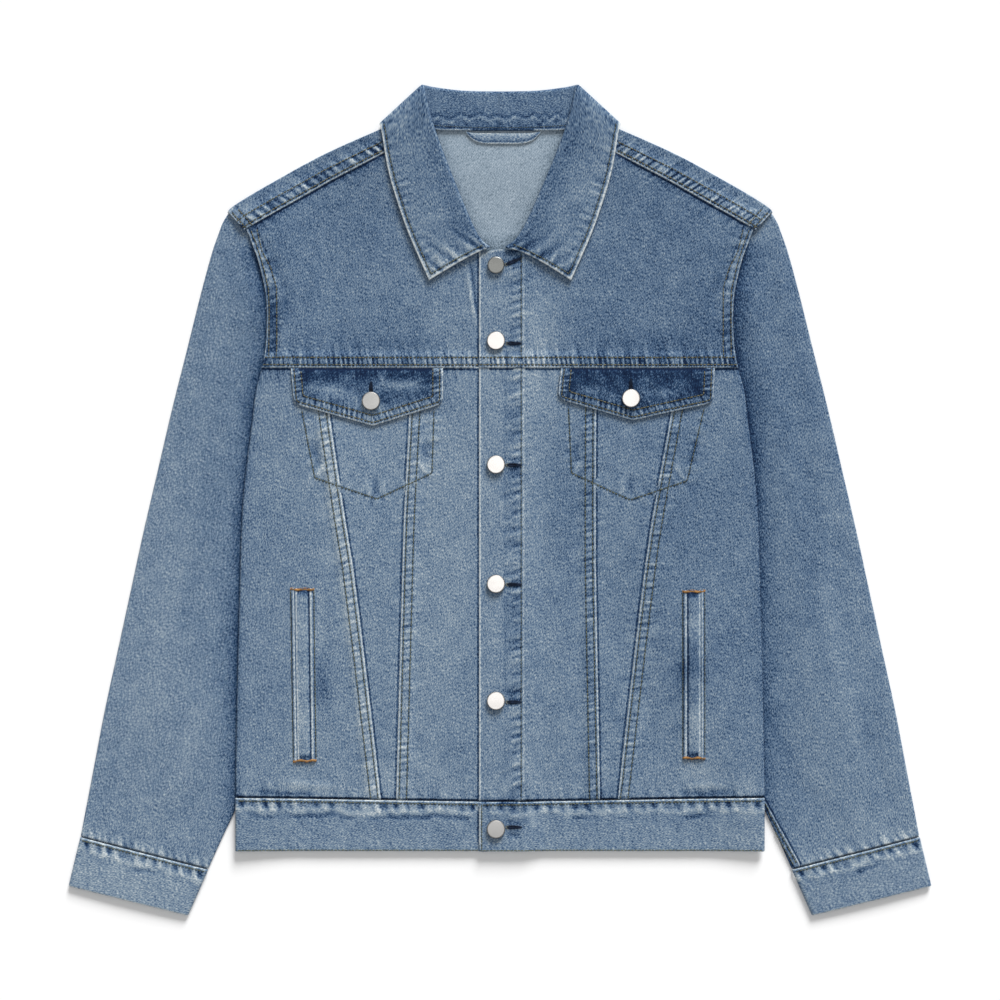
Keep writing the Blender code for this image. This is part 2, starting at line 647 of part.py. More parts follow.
def make_buttons():
    lift = button_band(BUTTON_X, CLOTH) + CLOTH + GAP
    for number, y in enumerate(BUTTON_ROWS, 1):
        seat = front(BUTTON_X, y) + lift
        if y < WAIST_TOP:
            seat = band_front(BUTTON_X, y) + button_band(BUTTON_X, BAND) + BAND + GAP
        make_button("button_" + str(number), BUTTON_X, y, seat)
    for side, (x, y) in FLAP_BUTTONS.items():
        make_button("flap_button_" + side, x, y, front(x, y) + CLOTH + GAP + EASE + FOLDED + GAP)


for leftover in list(bpy.data.objects):
    bpy.data.objects.remove(leftover)
jacket = bpy.data.collections.new("denim_jacket")
bpy.context.scene.collection.children.link(jacket)
denim = new_material("denim", (0.16, 0.23, 0.32))
metal = new_material("button_metal", (0.75, 0.75, 0.73), metallic=1.0, roughness=0.35)

make_back()
make_back_yoke()
make_collar()
make_hanger_loop()
for half_name in SIDES:
    make_front_yoke(half_name)
    make_front_panel(half_name)
    make_front_insert(half_name)
    make_side_front(half_name)
    make_waistband_front(half_name)
    make_sleeve(half_name)
    make_cuff(half_name)
    make_flap(half_name)
    make_welt(half_name)
make_buttons()
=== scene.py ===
"""The looks of a blue denim jacket laid flat and buttoned: cloth shells, stitching, buttonholes, buttons.

Sizes are in millimetres and are turned to metres where a mesh is made. +Z is up from the table, +Y toward
the collar, +X toward the wearer's left sleeve.
"""

import json
import math
import random
from collections import namedtuple

import bmesh
import bpy
import numpy as np
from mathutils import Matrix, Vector
from mathutils.bvhtree import BVHTree

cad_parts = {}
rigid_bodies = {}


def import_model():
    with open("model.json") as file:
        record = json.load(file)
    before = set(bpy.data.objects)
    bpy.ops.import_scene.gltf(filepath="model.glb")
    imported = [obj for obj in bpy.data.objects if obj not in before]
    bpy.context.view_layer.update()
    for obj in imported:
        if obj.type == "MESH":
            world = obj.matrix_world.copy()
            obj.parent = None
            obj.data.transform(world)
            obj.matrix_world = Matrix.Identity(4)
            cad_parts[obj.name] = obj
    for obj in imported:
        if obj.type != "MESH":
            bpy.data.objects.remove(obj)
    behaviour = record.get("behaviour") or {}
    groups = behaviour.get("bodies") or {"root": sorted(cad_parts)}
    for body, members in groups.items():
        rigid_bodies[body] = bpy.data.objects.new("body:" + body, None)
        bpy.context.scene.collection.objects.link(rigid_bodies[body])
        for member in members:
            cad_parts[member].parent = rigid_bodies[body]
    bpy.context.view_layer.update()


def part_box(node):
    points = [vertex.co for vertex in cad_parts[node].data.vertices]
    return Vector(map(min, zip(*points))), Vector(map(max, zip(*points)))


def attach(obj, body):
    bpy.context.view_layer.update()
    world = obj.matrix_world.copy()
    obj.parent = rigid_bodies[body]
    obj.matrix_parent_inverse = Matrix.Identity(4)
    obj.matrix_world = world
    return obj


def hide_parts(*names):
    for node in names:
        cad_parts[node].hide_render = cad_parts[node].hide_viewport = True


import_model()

MM = 0.001

# Cloth layers, as in the solids
CLOTH = 1.2
BAND = 2.2
FOLDED = 2.0
GAP = 0.3
EASE = 0.2
SEAM_STEP = 1.2
SEAM_WIDTH = 10.0
SEAM_SLOPE = 6.0
YOKE_SEAM = 123.1
WAIST_TOP = -279.1
HEM = -326.4
WAIST_HALF = 246.0
BAND_EDGE = -19.3
BAND_STITCH = 20.5
START = {"left": BAND_EDGE, "right": BAND_EDGE + GAP + EASE}  # the left front laps over the right
ON_FRONT = CLOTH + GAP + EASE  # from the underside of a layer to the underside of what lies on it
NECK_TOP = 231.0
SLEEVE_HEAD = 270.0
SLEEVE_END = -343.3
PANEL_TOP = 127.0
SHOULDER_HALF = 253.0
BACK_SEAM = 130.1
FLAP_FOOT = 76.0
SLEEVE_RISE = 2 * (CLOTH + GAP) + 0.4
FALL_RISE = FOLDED + GAP + EASE
REACH = 70.0
TURN_LOW = 0.6
BODY_PUFF = 1.4
SLEEVE_PUFF = 1.8

# The shells are a little thinner than the solids, so the layers keep clear of each other
THIN = 0.5  # half of one layer of denim
DOUBLE = 0.95  # half of a folded piece
THICK = 1.0  # half of the waistband and cuffs
PITCH = 2.1  # between the rows of a grid, fine enough for the ripples along a seam

BODY_EDGE = np.array([  # y, half width: armhole, then side of the body
    (250.5, 235), (237.5, 230.2), (224.5, 225.3), (201.2, 219.5), (182.6, 216.9), (153.8, 217),
    (135.2, 218.8), (123.1, 221.3), (102.6, 227), (80.3, 229.7), (0.3, 239), (-92.7, 242.3),
    (-185.7, 244.6), (-278.7, 246), (-327, 246),
])
SLEEVE_OUTER = np.array([
    (267, 253.2), (257, 258.8), (251.4, 260.8), (232.8, 267.4), (195.6, 277.6), (139.8, 291.5),
    (84, 305.5), (28.2, 318.5), (-27.6, 331.5), (-83.4, 343.6), (-139.2, 355.7), (-195, 367.8),
    (-250.8, 378.5), (-313.1, 390.4),
])
SLEEVE_INNER = np.array([
    (258, 233), (239.3, 221.3), (224.4, 215.8), (201.2, 210.2), (182.6, 208.3), (153.8, 207.4),
    (135.2, 205.5), (102.6, 195.3), (65.4, 174.8), (18.9, 160), (-36.9, 153.5), (-83.4, 162.8),
    (-139.2, 183.2), (-185.7, 201.8), (-232.2, 221.3), (-278.7, 241.8), (-315.9, 259.5), (-343.3, 271.8),
])
BACK_EDGE = np.array([
    (268, 251), (252, 227.5), (239.3, 218.5), (224.4, 213), (201.2, 207.2), (182.6, 205),
    (153.8, 204.2), (135.2, 205.5), (118, 213), (102.6, 223), (80.3, 226.9), (0.3, 236.2),
    (-92.7, 239.5), (-185.7, 241.8), (-279, 243.2),
])
VEE_Y = (123.1, 78.4, -17.3, -64.8, -279.1)
VEES = {  # half width of the V insert's inner and outer seam at those heights
    "left": ((89.8, 89.2, 88.9, 89, 93), (167.1, 158.8, 141.4, 134.4, 109.2)),
    "right": ((81.8, 84.3, 89.3, 90.8, 96.6), (164.4, 158.4, 144, 136.3, 110.4)),
}
SHOULDERS = np.array([  # fold x, fold y, front seam x, front seam y
    (80, 358, 80, 338.5), (110.7, 345.3, 108.8, 322.5), (165.5, 321.2, 158, 297),
    (213, 295, 201, 272.5), (246.4, 274.7, 228, 257), (253, 268, 237.6, 251.2),
])
CUFF_OUTER_TOP, CUFF_OUTER_END = (390.6, -313.4), (401.5, -358.9)
CUFF_INNER_TOP, CUFF_INNER_END = (271.6, -343.7), (290.4, -386.4)
COLLAR = np.array([  # neck x y z, roll x y z, edge x y z, turn in degrees
    (0, 343.5, 5.3, 0, 379.6, 2.8, 0, 318, 1.08, -90),
    (32, 343.5, 5.3, 33, 380.2, 2.8, 42, 318.5, 1.08, -90),
    (55, 343.8, 5.3, 59, 383.2, 2.8, 80, 323, 1.08, -90),
    (67.5, 346, 5.4, 68.5, 385, 3.1, 102, 336, 1.15, -80),
    (75, 350, 6, 71, 385.4, 4.2, 110.5, 348.3, 1.9, -35),
    (77, 350.5, 6.9, 71.6, 385.2, 5.6, 111.8, 349, 4.6, 5),
    (78.3, 347, 7.7, 71, 383, 7, 111.2, 347.8, 7.8, 50),
    (78.5, 341, 7.4, 68.4, 371, 8.3, 109.3, 338, 9, 85),
    (78.2, 331, 6.6, 63.2, 350.9, 8.3, 107.2, 324, 8.8, 90),
    (75.5, 313, 5.8, 54.2, 325.6, 7.4, 103.6, 305, 8, 90),
    (67.5, 286, 5.4, 43.2, 298, 7, 96.8, 281, 7.4, 90),
    (52, 258.5, 5.2, 29.8, 266.5, 6.9, 86, 250, 7, 90),
    (31, 241.5, 5.2, 18.4, 244.2, 6.9, 74, 222, 7, 90),
    (13.5, 233.5, 5.2, 7.4, 234.8, 6.9, 66, 204.2, 6.8, 90),
])
ROLL = 1.65
CLOSURE = -2.3
COLLAR_ROW = 4.3  # how far inside the collar's edges its row of stitches is
FRONT_BOW = {-1: 1.6, 1: 3.6}  # how far the fall's front edges bow upward
FLAPS = {  # inner top, outer top, inner low, point, outer low
    "left": ((56.7, 122.7), (199.5, 122.7), (53.9, 94.3), (123.4, 74.2), (198.1, 90.5)),
    "right": ((53, 122.7), (194.4, 122.7), (53, 89.6), (118.1, 69.1), (191.6, 89.6)),
}
WELTS = {  # top, low, inner top, outer top, inner low, outer low
    "left": (-83.4, -241, 170.2, 189.7, 170.6, 189.9),
    "right": (-81.5, -243.4, 173.4, 194, 171.6, 191.6),
}
WELT_PROFILE = np.array([  # share from the inner edge to the outer, height, wash: pale on the worn ridges, darker in the grooves and the pocket's opening as painted shade
    (0, -0.2, -0.2), (0.004, -0.15, -0.2), (0.012, -0.1, -0.2), (0.03, 0, -0.15), (0.06, 0.15, 0),
    (0.09, 0.3, 0.24), (0.12, 0.38, 0.42), (0.145, 0.3, 0.24), (0.165, 0.05, -0.15), (0.185, -0.3, -0.5),
    (0.21, -0.45, -0.66), (0.235, -0.2, -0.5), (0.26, 0.3, -0.12), (0.3, 0.6, 0), (0.37, 0.72, 0.02),
    (0.5, 0.8, 0), (0.62, 0.78, 0), (0.7, 0.7, 0.02), (0.74, 0.62, 0.16), (0.76, 0.5, 0.38),
    (0.78, 0.35, 0.4), (0.8, 0.2, 0.2), (0.82, 0.05, -0.1), (0.845, 0, -0.34), (0.865, 0.1, 0.02),
    (0.885, 0.25, 0.32), (0.91, 0.3, 0.32), (0.935, 0.2, 0.1), (0.96, 0.05, -0.1), (0.988, -0.1, -0.2),
    (0.996, -0.15, -0.2), (1, -0.2, -0.2),
])
POCKETS = {
    "left": ((63.7, 85.9), (66.5, 25.4), (120.9, 0.3), (173.9, 18), (189.5, 84.9)),
    "right": ((61.4, 83.1), (63.2, 25.4), (114.4, 1.3), (172.1, 20.8), (184.1, 83.1)),
}
ARMHOLE_ROWS = (
    ((231.5, 251), (226, 237), (219.5, 216), (215, 195.6), (214.6, 178.8), (214.8, 134)),
    ((226, 252), (221, 231), (213, 216), (207.5, 197.5), (207.3, 141.7), (208, 134)),
)
BUTTON_X = -3.8
BUTTON_ROWS = (218.4, 148.2, 33.2, -77.6, -186.2, -305.1)
HOLE_SHIFTS = (2.3, -2.3, -0.3, -0.6, -1.3, 2.2)  # buttonholes pull up or down a little at their buttons
FLAP_BUTTONS = {"left": (121.6, 94.7), "right": (-119.8, 92.2)}
SIGN = {"left": 1.0, "right": -1.0}


# ---------------------------------------------------------------- curves and heights


def clamp(t):
    return np.clip(t, 0.0, 1.0)


def spline(points, share):
    """Points at these shares, 0 to 1, of a smooth curve through the given ones."""
    points = np.asarray(points, float)
    place = clamp(share) * (len(points) - 1)
    i = np.minimum(place.astype(int), len(points) - 2)
    t = (place - i)[:, None]
    p, q, r = points[np.maximum(i - 1, 0)], points[i], points[i + 1]
    s = points[np.minimum(i + 2, len(points) - 1)]
    return q + 0.5 * t * (r - p + t * (2 * p - 5 * q + 4 * r - s + t * (3 * (q - r) + s - p)))


def distances(line):
    """How far along a line each of its points is."""
    return np.concatenate(([0.0], np.linalg.norm(np.diff(line, axis=0), axis=1).cumsum()))


def across(table, y):
    """The second column of a table at these heights, on a smooth curve through its rows."""
    rows = table[np.argsort(table[:, 0])]
    ys, vs = rows[:, 0], rows[:, 1]
    y = np.clip(y, ys[0], ys[-1])
    i = np.clip(np.searchsorted(ys, y, side="right") - 1, 0, len(ys) - 2)
    low, high = np.maximum(np.arange(len(ys)) - 1, 0), np.minimum(np.arange(len(ys)) + 1, len(ys) - 1)
    slope = (vs[high] - vs[low]) / (ys[high] - ys[low])
    span = ys[i + 1] - ys[i]
    t = (y - ys[i]) / span
    return (
        (2 * t**3 - 3 * t**2 + 1) * vs[i]
        + (t**3 - 2 * t**2 + t) * span * slope[i]
        + (3 * t**2 - 2 * t**3) * vs[i + 1]
        + (t**3 - t**2) * span * slope[i + 1]
    )


def vee(side, seam, y):
    return across(np.column_stack((VEE_Y, VEES[side][seam])), y)


def fade(t):
    """1 up to 0, falling smoothly to 0 at 1 and after."""
    t = clamp(t)
    return 1 - t * t * (3 - 2 * t)


def bell(t):
    """1 at 0, falling smoothly away on both sides."""
    return np.exp(-(t**2))


def mix(a, b, t):
    return a + (b - a) * t


def nearest(route, x, y):
    flat = np.stack((x.ravel(), y.ravel()), 1)
    out = np.full(len(flat), 1e9)
    for px, py in route:
        out = np.minimum(out, np.hypot(flat[:, 0] - px, flat[:, 1] - py))
    return out.reshape(x.shape)


ROUTE_Y = np.linspace(258.0, SLEEVE_END, 91)
SLEEVE_ROUTE = np.column_stack((across(SLEEVE_INNER, ROUTE_Y), ROUTE_Y))
FALL_ROUTE = spline(COLLAR[:6, 6:8], np.linspace(0.0, 1.0, 31))


def rise(x, y):
    """How far the body is lifted off the table by the sleeve or the collar's fall below it."""
    x = np.abs(x)
    over_sleeve = (y > SLEEVE_END) & (y < SLEEVE_HEAD) & (x > across(SLEEVE_INNER, y))
    sleeve = np.where(over_sleeve, 0.0, nearest(SLEEVE_ROUTE, x, y))
    over_fall = np.zeros(x.shape, bool)
    for px, py in FALL_ROUTE:
        over_fall |= (y > py) & (x < px + 4.0)
    over_fall &= x < FALL_ROUTE[-1][0]
    fall = np.where(over_fall, 0.0, nearest(FALL_ROUTE, x, y))
    return np.maximum(SLEEVE_RISE * fade(sleeve / REACH), FALL_RISE * fade(fall / REACH))


def body_slack(x, y):
    return BODY_PUFF * fade(np.abs(x) / 250.0) * fade((-y - 150.0) / 180.0)


def front(x, y):
    """Underside of the fronts where nothing else lifts them."""
    return rise(x, y) + CLOTH + GAP + EASE + body_slack(x, y)


def lapped(distance):
    return SEAM_STEP * clamp((SEAM_WIDTH + SEAM_SLOPE - distance) / SEAM_SLOPE)


def below_flap(y):
    return clamp((FLAP_FOOT - y) / 10.0)


def button_band(x, layer):
    inner, outer = BAND_STITCH + 2.5, BAND_STITCH + 20.5
    return (layer + GAP + EASE) * clamp((outer - x) / (outer - inner))


def armhole_lift(across_share, y):
    return 1.5 * fade(1.5 * (1 - across_share)) * fade((175.0 - y) / 35.0) * fade((y - 190.0) / 25.0)


def sleeve_slack(across_share, down_share, y):
    crown = np.sin(math.pi * np.clip(across_share, 0, 1)) * (1 - fade(down_share / 0.13))
    crease = 0.5 * np.sin(9.0 * across_share + 4.0 * down_share) * crown
    puff = SLEEVE_PUFF * crown**0.8 * fade((down_share - 0.75) / 0.25)
    return np.maximum(puff + crease, 0.0) + armhole_lift(across_share, y)


# ---------------------------------------------------------------- seams, ripples and creases

# The seam map, in millimetres: how far inside the folded edge the two rows are, and the spacing of the ropes
FIRST_ROW = 3.0
SECOND_ROW = 9.7
ROPE = 8.0

# A seam ripples the cloth beside it. Its line is the folded edge, with the lapped piece on its left, and its
# stitching is first and second mm inside that edge. rows, rope and edge say how strongly the material draws
# the sunk rows, the roping between them and the worn edge. near and far are how far the ripples of the
# shape reach on the left and on the right, from mid mm inside the edge, and lift is their height. stripe is
# the spacing of the ropes, slant how far they lean, swell the strength of the waves behind them, and fill
# the change of colour between the rows.
Seam = namedtuple(
    "Seam", "line first second rows rope edge mid near far pitch lift seed stripe slant swell fill",
    defaults=(8.0, 0.3, 0.0, 0.0),
)
# A crease is a soft ridge, or a trough where its height is negative.
Crease = namedtuple("Crease", "line width height wash")
# A patch is a soft spot where the cloth is paler, or darker where its wash is negative.
Patch = namedtuple("Patch", "x y wide tall wash")


def beside(line, x, y):
    """How far along a line the nearest point is, and how far to its left."""
    along = np.zeros(x.shape)
    away = np.full(x.shape, 1e9)
    start = 0.0
    for (ax, ay), (bx, by) in zip(line, line[1:]):
        length = math.hypot(bx - ax, by - ay)
        ux, uy = (bx - ax) / length, (by - ay) / length
        s = (x - ax) * ux + (y - ay) * uy
        left = (y - ay) * ux - (x - ax) * uy
        over = s - np.clip(s, 0.0, length)
        distance = np.hypot(left, over)
        closer = distance < np.abs(away)
        away = np.where(closer, np.where(left < 0, -distance, distance), away)
        along = np.where(closer, start + np.clip(s, 0.0, length), along)
        start += length
    return along, away


def ripple(seed, along, pitch):
    """Ridges and dips in turn, -1 to 1, of odd widths and heights."""
    dice = random.Random(seed)
    knots, values, high = [-400.0], [0.0], 1.0
    while knots[-1] < 1100.0:
        knots.append(knots[-1] + pitch * dice.uniform(0.25, 0.75))
        values.append(high * dice.uniform(0.25, 1.0))
        high = -high
    knots, values = np.array(knots), np.array(values)
    i = np.clip(np.searchsorted(knots, along) - 1, 0, len(knots) - 2)
    t = (along - knots[i]) / (knots[i + 1] - knots[i])
    return mix(values[i], values[i + 1], t * t * (3 - 2 * t))


def ripples(seams, x, y):
    """Height and change of colour that the seams give the cloth at these points."""
    height, wash = np.zeros(x.shape), np.zeros(x.shape)
    for seam in seams:
        along, away = beside(seam.line, x, y)
        wash += seam.fill * fade((np.abs(away - 7.0) - 4.5) / 4.0)
        away = away - seam.mid
        reach = np.where(away > 0, seam.near, seam.far)
        slanted = along + away * (0.2 + 0.25 * np.sin(along / 23.0 + seam.seed))
        reach = reach * (0.85 + 0.45 * ripple(seam.seed + 0.5, slanted, 1.7 * seam.pitch))
        strength = bell(np.abs(away) / np.maximum(reach, 0.01))
        wave = ripple(seam.seed, slanted, seam.pitch)
        height += seam.lift * wave * strength
        wash += 0.35 * seam.lift * wave * strength
    return height, wash


def creased(creases, x, y):
    height, wash = np.zeros(x.shape), np.zeros(x.shape)
    for crease in creases:
        along, away = beside(crease.line, x, y)
        length = sum(math.dist(a, b) for a, b in zip(crease.line, crease.line[1:]))
        ends = clamp(np.minimum(along, length - along) / (0.25 * length))
        strength = bell(away / crease.width) * ends
        height += crease.height * strength
        wash += crease.wash * strength
    return height, wash


def patched(patches, x, y):
    wash = np.zeros(x.shape)
    for p in patches:
        wash += p.wash * np.exp(-(((x - p.x) / p.wide) ** 2) - ((y - p.y) / p.tall) ** 2)
    return wash


def sided(points, sign, turn=0):
    """The points on one side of the jacket. Their order turns round on the side whose sign is turn."""
    line = [(sign * x, y) for x, y in points]
    return line[::-1] if sign == turn else line


YOKE_LINE = [(-222, YOKE_SEAM), (222, YOKE_SEAM)]
YOKE = Seam(YOKE_LINE, 3, 9.7, 2, 0.9, 0.8, 6.4, 20, 9, 13, 0.3, 3, 4.6, 0.15, 0, -0.02)
WAIST_LINE = [(WAIST_HALF, WAIST_TOP), (-WAIST_HALF, WAIST_TOP)]
WAIST = Seam(WAIST_LINE, 2.7, 9.7, 1, 0.5, 0.62, 2, 10, 14, 11, 0.34, 5, 12, 0.3, 1)
HEMLINE = Seam([(-WAIST_HALF, HEM), (WAIST_HALF, HEM)], 1.2, 9.7, 0, 0.1, 1.3, 3, 8, 2, 10, 0.1, 8)
BAND_LINE = [(BAND_STITCH + 1.6, -279), (BAND_STITCH + 1.6, NECK_TOP)]
BAND_ROW = Seam(BAND_LINE, 2.4, 9.7, 1, 0.5, 0.34, 4, 14, 3, 19, 0.34, 7)
BAND_FOLD = Seam([(BAND_EDGE, 240), (BAND_EDGE, -330)], 3, 9.7, 0, 0, 1.1, 0, 4, 4, 9, 0.08, 9)
BACK_YOKE = YOKE._replace(line=[(-224, BACK_SEAM), (224, BACK_SEAM)], seed=53)
# the end of the left sleeve's seam shows between the body and the cuff
WRIST_LINE = [(279, -338.6), (247.4, -281.5), (230, -250)]
WRIST = Seam(WRIST_LINE, 2.2, 6.2, 2, 0.3, 0.8, 4, 4, 3, 9, 0.1, 57, fill=-0.12)
INNER, OUTER, POCKET, ARMHOLE, STRIP, STRIP_END, BACK_SIDE, BACK_ARMHOLE = ({} for _ in range(8))
GATHERS, CUFF_TOP, CUFF_END = {}, {}, {}
VEE_ROWS = np.array((112, 60, 20, -20, -60, -110, -160, -220, -284))
BACK_ROWS = np.linspace(134, 264, 9)
for _side, _sign in SIGN.items():
    _inner, _outer = (sided(zip(vee(_side, k, VEE_ROWS), VEE_ROWS), _sign, 1 - 2 * k) for k in (0, 1))
    _fill = -0.005 - 0.035 * _sign
    INNER[_side] = Seam(_inner, 2.7, 9.6, 2, 0.5, 0.8, 6.2, 6, 6, 11, 0.2, 11 + _sign, 6, 0.2, 0, _fill)
    OUTER[_side] = INNER[_side]._replace(line=_outer, edge=0.75, seed=15 + _sign, fill=0.09 - 0.07 * _sign)
    POCKET[_side] = Seam(sided(POCKETS[_side], _sign), 0, 9.7, 1, 0, 0, 0, 8, 8, 10, 0.4, 19 + _sign)
    _line = sided(BODY_EDGE[:8, ::-1], _sign, 1)
    ARMHOLE[_side] = Seam(_line, 2.6, 9.4, 2, 0.5, 0.6, 5, 8, 2, 10, 0.2, 23 + _sign)
    _line, _lean = sided(SHOULDERS[:, 2:], _sign, -1), (7 - 1.2 * _sign, -0.5 * _sign, 0, 0.025 * _sign)
    STRIP[_side] = Seam(_line, 2.6, 9.6, 2, 1.1, 1, 7, 10, 9, 9, 0.14, 27 + _sign, *_lean)
    _line = sided([(253, 268), (237.6, 251.2)], _sign, 1)
    STRIP_END[_side] = Seam(_line, 2.6, 9, 2, 0.7, 0.6, 4, 5, 5, 8, 0.1, 31 + _sign, 8, 0.3)
    _line = sided([(84, -284), (128, 134)], _sign, -1)
    BACK_SIDE[_side] = INNER["left"]._replace(line=_line, seed=61 + _sign, fill=0.04)
    _line = sided(zip(across(BACK_EDGE, BACK_ROWS), BACK_ROWS), _sign, -1)
    BACK_ARMHOLE[_side] = ARMHOLE[_side]._replace(line=_line, seed=65 + _sign)
    # the sleeve gathers a little where it goes under the body
    _line = sided(BODY_EDGE[:7, ::-1], _sign, 1)
    GATHERS[_side] = Seam(_line, 3, 9.7, 0, 0, 0, 0, 6, 14, 13, 0.15, 49 + _sign)
    _line = sided((CUFF_OUTER_TOP, CUFF_INNER_TOP), _sign, -1)
    CUFF_TOP[_side] = Seam(_line, 2.3, 9.7, 1, 0.7, 0.34, 3, 12, 12, 10, 0.34, 41 + _sign, 11, 0.4, 1)
    _line = sided((CUFF_OUTER_END, CUFF_INNER_END), _sign, 1)
    CUFF_END[_side] = Seam(_line, 2.2, 9.7, 0, 0.1, 0.9, 2, 5, 2, 9, 0.05, 45 + _sign)
BODY_SEAMS = [YOKE, WAIST, HEMLINE, BAND_ROW]
for _by_side in (INNER, OUTER, POCKET, ARMHOLE, STRIP):
    BODY_SEAMS += _by_side.values()
BACK_SEAMS = [BACK_YOKE, WAIST, HEMLINE, *BACK_SIDE.values()]

BACK_CREASES = [
    Crease([(-60, 108), (-50, 20), (-66, -90)], 11, 0.5, 0.07),
    Crease([(-34, 60), (-28, -40), (-38, -130)], 10, 0, -0.06),
    Crease([(68, 92), (60, -20), (74, -140)], 12, 0.45, 0.06),
    Crease([(-150, -130), (-120, -190), (-58, -242)], 10, 0.4, 0.07),
    Crease([(-140, -156), (-108, -214), (-48, -262)], 9, 0, -0.08),
    Crease([(36, -206), (100, -238), (172, -250)], 9, 0.45, 0.08),
    Crease([(-190, 70), (-178, -40), (-188, -150)], 10, 0.4, 0.05),
    Crease([(188, 84), (180, -30), (190, -124)], 10, 0.35, -0.05),
]
BACK_PATCHES = [Patch(*spot) for spot in (
    (0, 30, 90, 170, 0.06), (0, -268, 150, 12, 0.06), (-124, 112, 54, 13, -0.09), (118, 110, 50, 14, -0.08),
    (-206, -100, 30, 150, -0.07), (208, -80, 30, 160, -0.08), (-90, 200, 90, 50, 0.04),
    (100, 210, 80, 50, 0.05),
)]
BODY_CREASES = [
    Crease([(-31.5, 221), (-27, 190), (-21, 162)], 1.4, 0.6, 0.34),
    Crease([(-27.5, 224), (-23.5, 190), (-20.5, 165)], 1.6, -0.4, -0.3),
    # the top edge of the button band is worn
    Crease(
        [(-19, 224), (-16.2, 228.3), (-10, 230.9), (-3, 232.5), (4, 232.3), (10, 231.2)], 1.1, 0.1, 0.34
    ),
    # the button band is creased at the ends of its buttonholes
    Crease([(4.6, 216), (5.1, 140), (4.6, 40), (5.2, -90), (4.7, -272)], 1.3, -0.15, -0.1),
    Crease([(12.5, 216), (12.5, 100), (12.5, -80), (12.5, -272)], 6.5, 0, -0.07),
    Crease([(2, -57.6), (10, -57.4), (20, -57.8)], 1.1, 0.3, 0.26),
    Crease([(2, -69.5), (10, -70), (20, -69.5)], 1.8, -0.3, -0.2),
    # at the corners and the point of the chest pockets
    Crease([(-171.1, 21.7), (-161.8, 35.7)], 1.8, 0.35, 0.3),
    Crease([(-174.8, 56.1), (-167.4, 28.2)], 3.5, -0.4, -0.17),
    Crease([(-67.9, 58.9), (-70.7, 37.5)], 3, -0.4, -0.2),
    Crease([(-74.4, 35.7), (-67.9, 24.5)], 1.6, 0.3, 0.25),
    Crease([(-116.2, 24), (-115.3, 2)], 2.6, -0.35, -0.2),
    Crease([(-124.6, 20), (-121.8, 3)], 2, 0.3, 0.16),
    Crease([(-106.9, 22), (-109.7, 3)], 2, 0.3, 0.16),
    Crease([(172, 18), (162, 34)], 1.8, 0.35, 0.26),
    Crease([(183, 60), (176, 30)], 3.5, -0.4, -0.18),
    Crease([(69, 58), (71.5, 34)], 3, -0.4, -0.18),
    Crease([(76, 36), (68, 26)], 1.6, 0.3, 0.22),
    Crease([(122.5, 24), (121, 3)], 2.6, -0.35, -0.18),
    Crease([(112, 22), (115, 4)], 2, 0.3, 0.15),
    # above the waistband
    Crease([(-230, -272), (-204, -274.6), (-170, -274.4)], 2, -0.3, -0.34),
    Crease([(-208, -263), (-180, -266.5), (-146, -268)], 3.6, 0.4, 0.12),
    Crease([(-216, -262), (-211, -271)], 1.4, 0.3, 0.2),
    Crease([(226, -272.5), (190, -274.5), (160, -273)], 2.2, -0.3, -0.26),
    Crease([(212, -266), (172, -267.5)], 3.2, 0.35, 0.14),
    # where the armhole seams roll in above the chest
    Crease([(-230, 243), (-221.3, 221.7), (-212, 200.3), (-206, 190)], 4, 0.6, 0.13),
    Crease([(-222, 246), (-211, 222), (-200, 194), (-197, 160)], 5, -0.5, -0.08),
    Crease([(-214.5, 204), (-211, 180), (-211.5, 150), (-213, 118)], 5.5, -0.3, -0.22),
    Crease([(229.5, 243), (220.6, 220), (211, 199), (204, 182)], 4.2, 0.6, 0.14),
    Crease([(221, 246), (210, 222), (199.5, 193), (197, 160)], 5, -0.5, -0.03),
    Crease([(216, 180), (213, 160), (213.5, 130)], 4.5, -0.3, -0.1),
]
